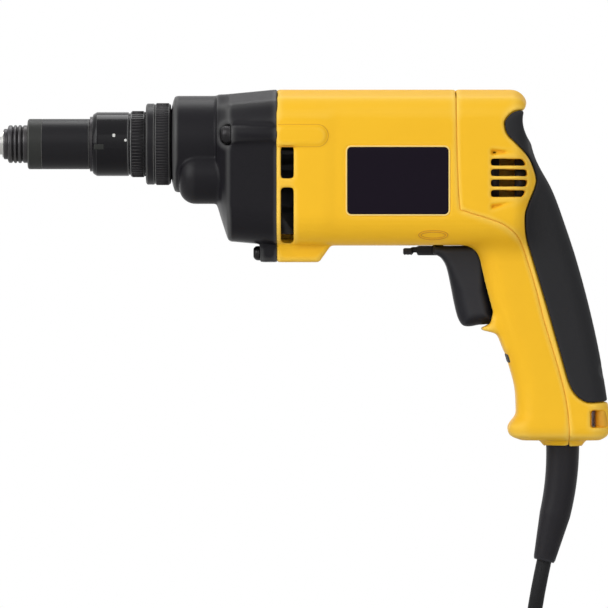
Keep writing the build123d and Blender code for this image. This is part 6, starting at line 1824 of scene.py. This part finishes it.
    def plug(self) -> Piece:
        """Moulded plug that widens from the cord, with finger ridges.

        Returns:
            The new object.
        """
        plug_y, plug_z = self.plug_line
        stations, halves, heights = zip(*self.plug_rows)
        past, out = self.plug_room
        space = Space((stations[0] - past, plug_y - out, plug_z - out),
                      (stations[-1] + past, plug_y + out, plug_z + out), self.plug_step)
        y, z = space.y - plug_y, space.z - plug_z
        half, height = (glide(space.x[:, 0, 0], stations, v)[:, None, None] for v in (halves, heights))
        skin = rounded(y, z, half, height, np.minimum(half, height) * self.plug_corner)
        body = meet(skin, between(space.x, (stations[0], stations[-1])), self.plug_round)
        groove_half, groove_depth, groove_edge = self.plug_groove
        for ridge in self.plug_ridges:
            groove = common(np.abs(space.x - ridge) - groove_half, -(skin + groove_depth))
            body = cut(body, groove, groove_edge)
        hole_gap, hole_edge = self.plug_hole
        hole = common(np.hypot(y, z) - self.radius - hole_gap, space.x - self.tail[-1])
        piece = skinned("plug_body_skin", cut(body, hole, hole_edge), space, Finish.LEAD)
        return settle(piece, "housing", "black_rubber", "plug_body")

    def build(self) -> None:
        """Make the lead."""
        self.inner_end()
        self.cord([self.boot(), self.plug(), "cord_tie", "plug_blades"])


@dataclass
class InnerWorks:
    """Finishes of the modelled parts that show as they are, and copies of the springs."""

    finishes: tuple = (
        (Finish.BRIGHT, ("output_spindle", "bit_ball", "gear_washer", "thrust_washer", "sleeve_retainer",
                         "front_bearing", "rear_bearing", "armature_shaft", "lay_shaft", "brush_springs",
                         "cord_clamp_screws")),
        (Finish.GEAR, ("lay_gear", "spindle_gear", "clutch_plate", "spring_seat")),
        (Finish.TURNED, ("clutch_tube",)),
        (Finish.CORE, ("armature_core", "field_core")),
        (Finish.CAST, ("bearing_plate",)),
        (Finish.BRONZE, ("lay_bushes", "spindle_rear_bush", "nose_bush")),
        (Finish.COPPER, ("armature_windings", "field_coils", "commutator")),
        (Finish.BRASS, ("brush_holders", "plug_blades")),
        (Finish.CARBON, ("carbon_brushes",)),
        (Finish.FAN, ("fan",)),
        (Finish.SWITCH, ("switch_body", "fan_baffle", "cord_clamp")),
        (Finish.WIRE, ("lead_wires",)),
        (Finish.TIE, ("cord_tie",)),
    )
    springs: tuple = (
        ("clutch_spring", "spindle", "clutch_slip", 2.8, False),
        ("sleeve_spring", "spindle", "bit_release", 4.0, False),
        ("trigger_spring", "housing", "trigger_pull", 6.0, True),
    )

    def dress_nodes(self) -> None:
        """Give each modelled part its finish."""
        for finish, names in self.finishes:
            for name in names:
                dress(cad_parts[name].data, finish)
                LOG.info("%s is dressed as it is", name)

    def spring(self, name: str, body: str, joint: str, travel: float, from_rear: bool) -> None:
        """Copy a spring as a piece on its body, in place of its node.

        Args:
            name: the spring's node.
            body: what it rides on.
            joint: the joint that presses it, not used.
            travel: how far that joint goes, not used.
            from_rear: whether its rear end stays still, not its front end; not used.
        """
        low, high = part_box(name)
        piece = as_piece(f"{name}_coil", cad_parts[name].data.copy(), Finish.BRIGHT)
        settle(piece, body, "bright_steel", name)
        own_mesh(piece)

    def build(self) -> None:
        """Dress the parts and copy the springs."""
        self.dress_nodes()
        for row in self.springs:
            self.spring(*row)


@dataclass
class Studio:
    """Camera, lamps, world and floor, with the lamps' and the floor's sizes and clip in metres."""

    view_x: float = -124.4
    view_z: float = 7.35
    view_width: float = 319.2
    distance: float = 3200.0
    sensor: float = 36.0
    clip: float = 50.0
    aim_z: float = 50.0
    floor_z: float = -212.0
    floor_half: Point = (4.0, 1.1)
    floor_tones: tuple = ((0.72, 0.72, 0.72), (0.75, 0.75, 0.75))
    floor_grain: float = 6.0
    floor_rough: float = 0.9
    glow: float = 0.75
    sky_low: float = 0.25
    sky_high: float = 0.17
    sky_gain: float = 1.5
    lamps: tuple = (
        ("key", (-1.35, -1.2, 0.85), 1.6, 23.0),
        ("fill", (0.6, -1.6, 0.2), 2.2, 12.0),
        ("top", (-0.12, 0.65, 1.55), 0.8, 7.0),
    )

    def camera(self) -> None:
        """Look at the tool's left side squarely, from far off."""
        scene = bpy.context.scene
        scene.view_settings.view_transform = "Standard"
        lens = bpy.data.cameras.new("camera")
        lens.sensor_width = self.sensor
        lens.lens = self.sensor * self.distance / self.view_width
        lens.clip_end = self.clip
        camera = linked("camera", lens)
        camera.location = (self.view_x * MM, -self.distance * MM, self.view_z * MM)
        camera.rotation_euler = (math.pi / 2, 0.0, 0.0)
        scene.camera = camera

    def lamp(self, name: str, place: Place, size: float, power: float) -> None:
        """Add a soft square lamp that looks at the tool.

        Args:
            name: the lamp's name.
            place: where it stands.
            size: length of its side.
            power: its watts.
        """
        light = bpy.data.lights.new(name, "AREA")
        light.size = size
        light.energy = power
        lamp = linked(name, light)
        lamp.location = place
        aim = Vector((self.view_x * MM, 0.0, self.aim_z * MM)) - lamp.location
        lamp.rotation_euler = aim.to_track_quat("-Z", "Y").to_euler()

    def world(self) -> None:
        """White to the eye and in reflections of what lies overhead or beyond the tool, dimmer otherwise."""
        world = bpy.data.worlds.new("world")
        bpy.context.scene.world = world
        world.use_nodes = True
        board = Board(world.node_tree)
        path = board.add("ShaderNodeLightPath")
        way = board.add("ShaderNodeTexCoord").outputs["Generated"]
        parts = board.add("ShaderNodeSeparateXYZ", {}, {0: way})
        above, beyond = ((board.out(parts, k) * self.sky_gain).held() for k in (2, 1))
        seen = board.out(path, "Is Camera Ray") + board.out(path, "Is Transmission Ray")
        seen = (seen + board.out(path, "Is Glossy Ray") * (above + beyond).held()).held()
        light = (seen + (1.0 - seen) * (self.sky_low + self.sky_high * above)).held()
        back = board.add("ShaderNodeBackground", {}, {"Color": (1, 1, 1, 1), "Strength": light})
        board.add("ShaderNodeOutputWorld", {}, {"Surface": back.outputs[0]})

    def floor(self) -> None:
        """A pale floor under the coil, near white to the eye, that keeps the shadow."""
        long, deep = self.floor_half
        mesh = bpy.data.meshes.new("floor")
        corners = [(-long, -deep), (long, -deep), (long, deep), (-long, deep)]
        mesh.from_pydata([(x, y, self.floor_z * MM) for x, y in corners], [], [(0, 1, 2, 3)])
        floor = linked("floor", mesh)
        paint = PaintBoard("floor_pale")
        mottle = paint.speckle(self.floor_grain)
        paint.set(Base_Color=paint.blend(mottle, *self.floor_tones), Roughness=self.floor_rough)
        glow = paint.add("ShaderNodeEmission", {}, {"Color": (1, 1, 1, 1), "Strength": 1.0})
        share = paint.out(paint.add("ShaderNodeLightPath"), "Is Camera Ray") * self.glow
        mixed = paint.add("ShaderNodeMixShader", {}, {
            0: share, 1: paint.shader.outputs[0], 2: glow.outputs[0]})
        paint.tree.links.new(mixed.outputs[0], paint.output.inputs["Surface"])
        mesh.materials.append(paint.material)

    def build(self) -> None:
        """Set up what the tool is seen with."""
        self.camera()
        self.world()
        self.floor()
        for row in self.lamps:
            self.lamp(*row)


def main() -> None:
    """Build the tool piece by piece."""
    logging.basicConfig(level=logging.INFO, format="%(message)s")
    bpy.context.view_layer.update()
    kinds = (Studio, Lead, FrontShell, RearShells, GearCase, Nose, Controls, Trim, InnerWorks)
    for kind in kinds:
        kind().build()


if __name__ == "__main__":
    main()
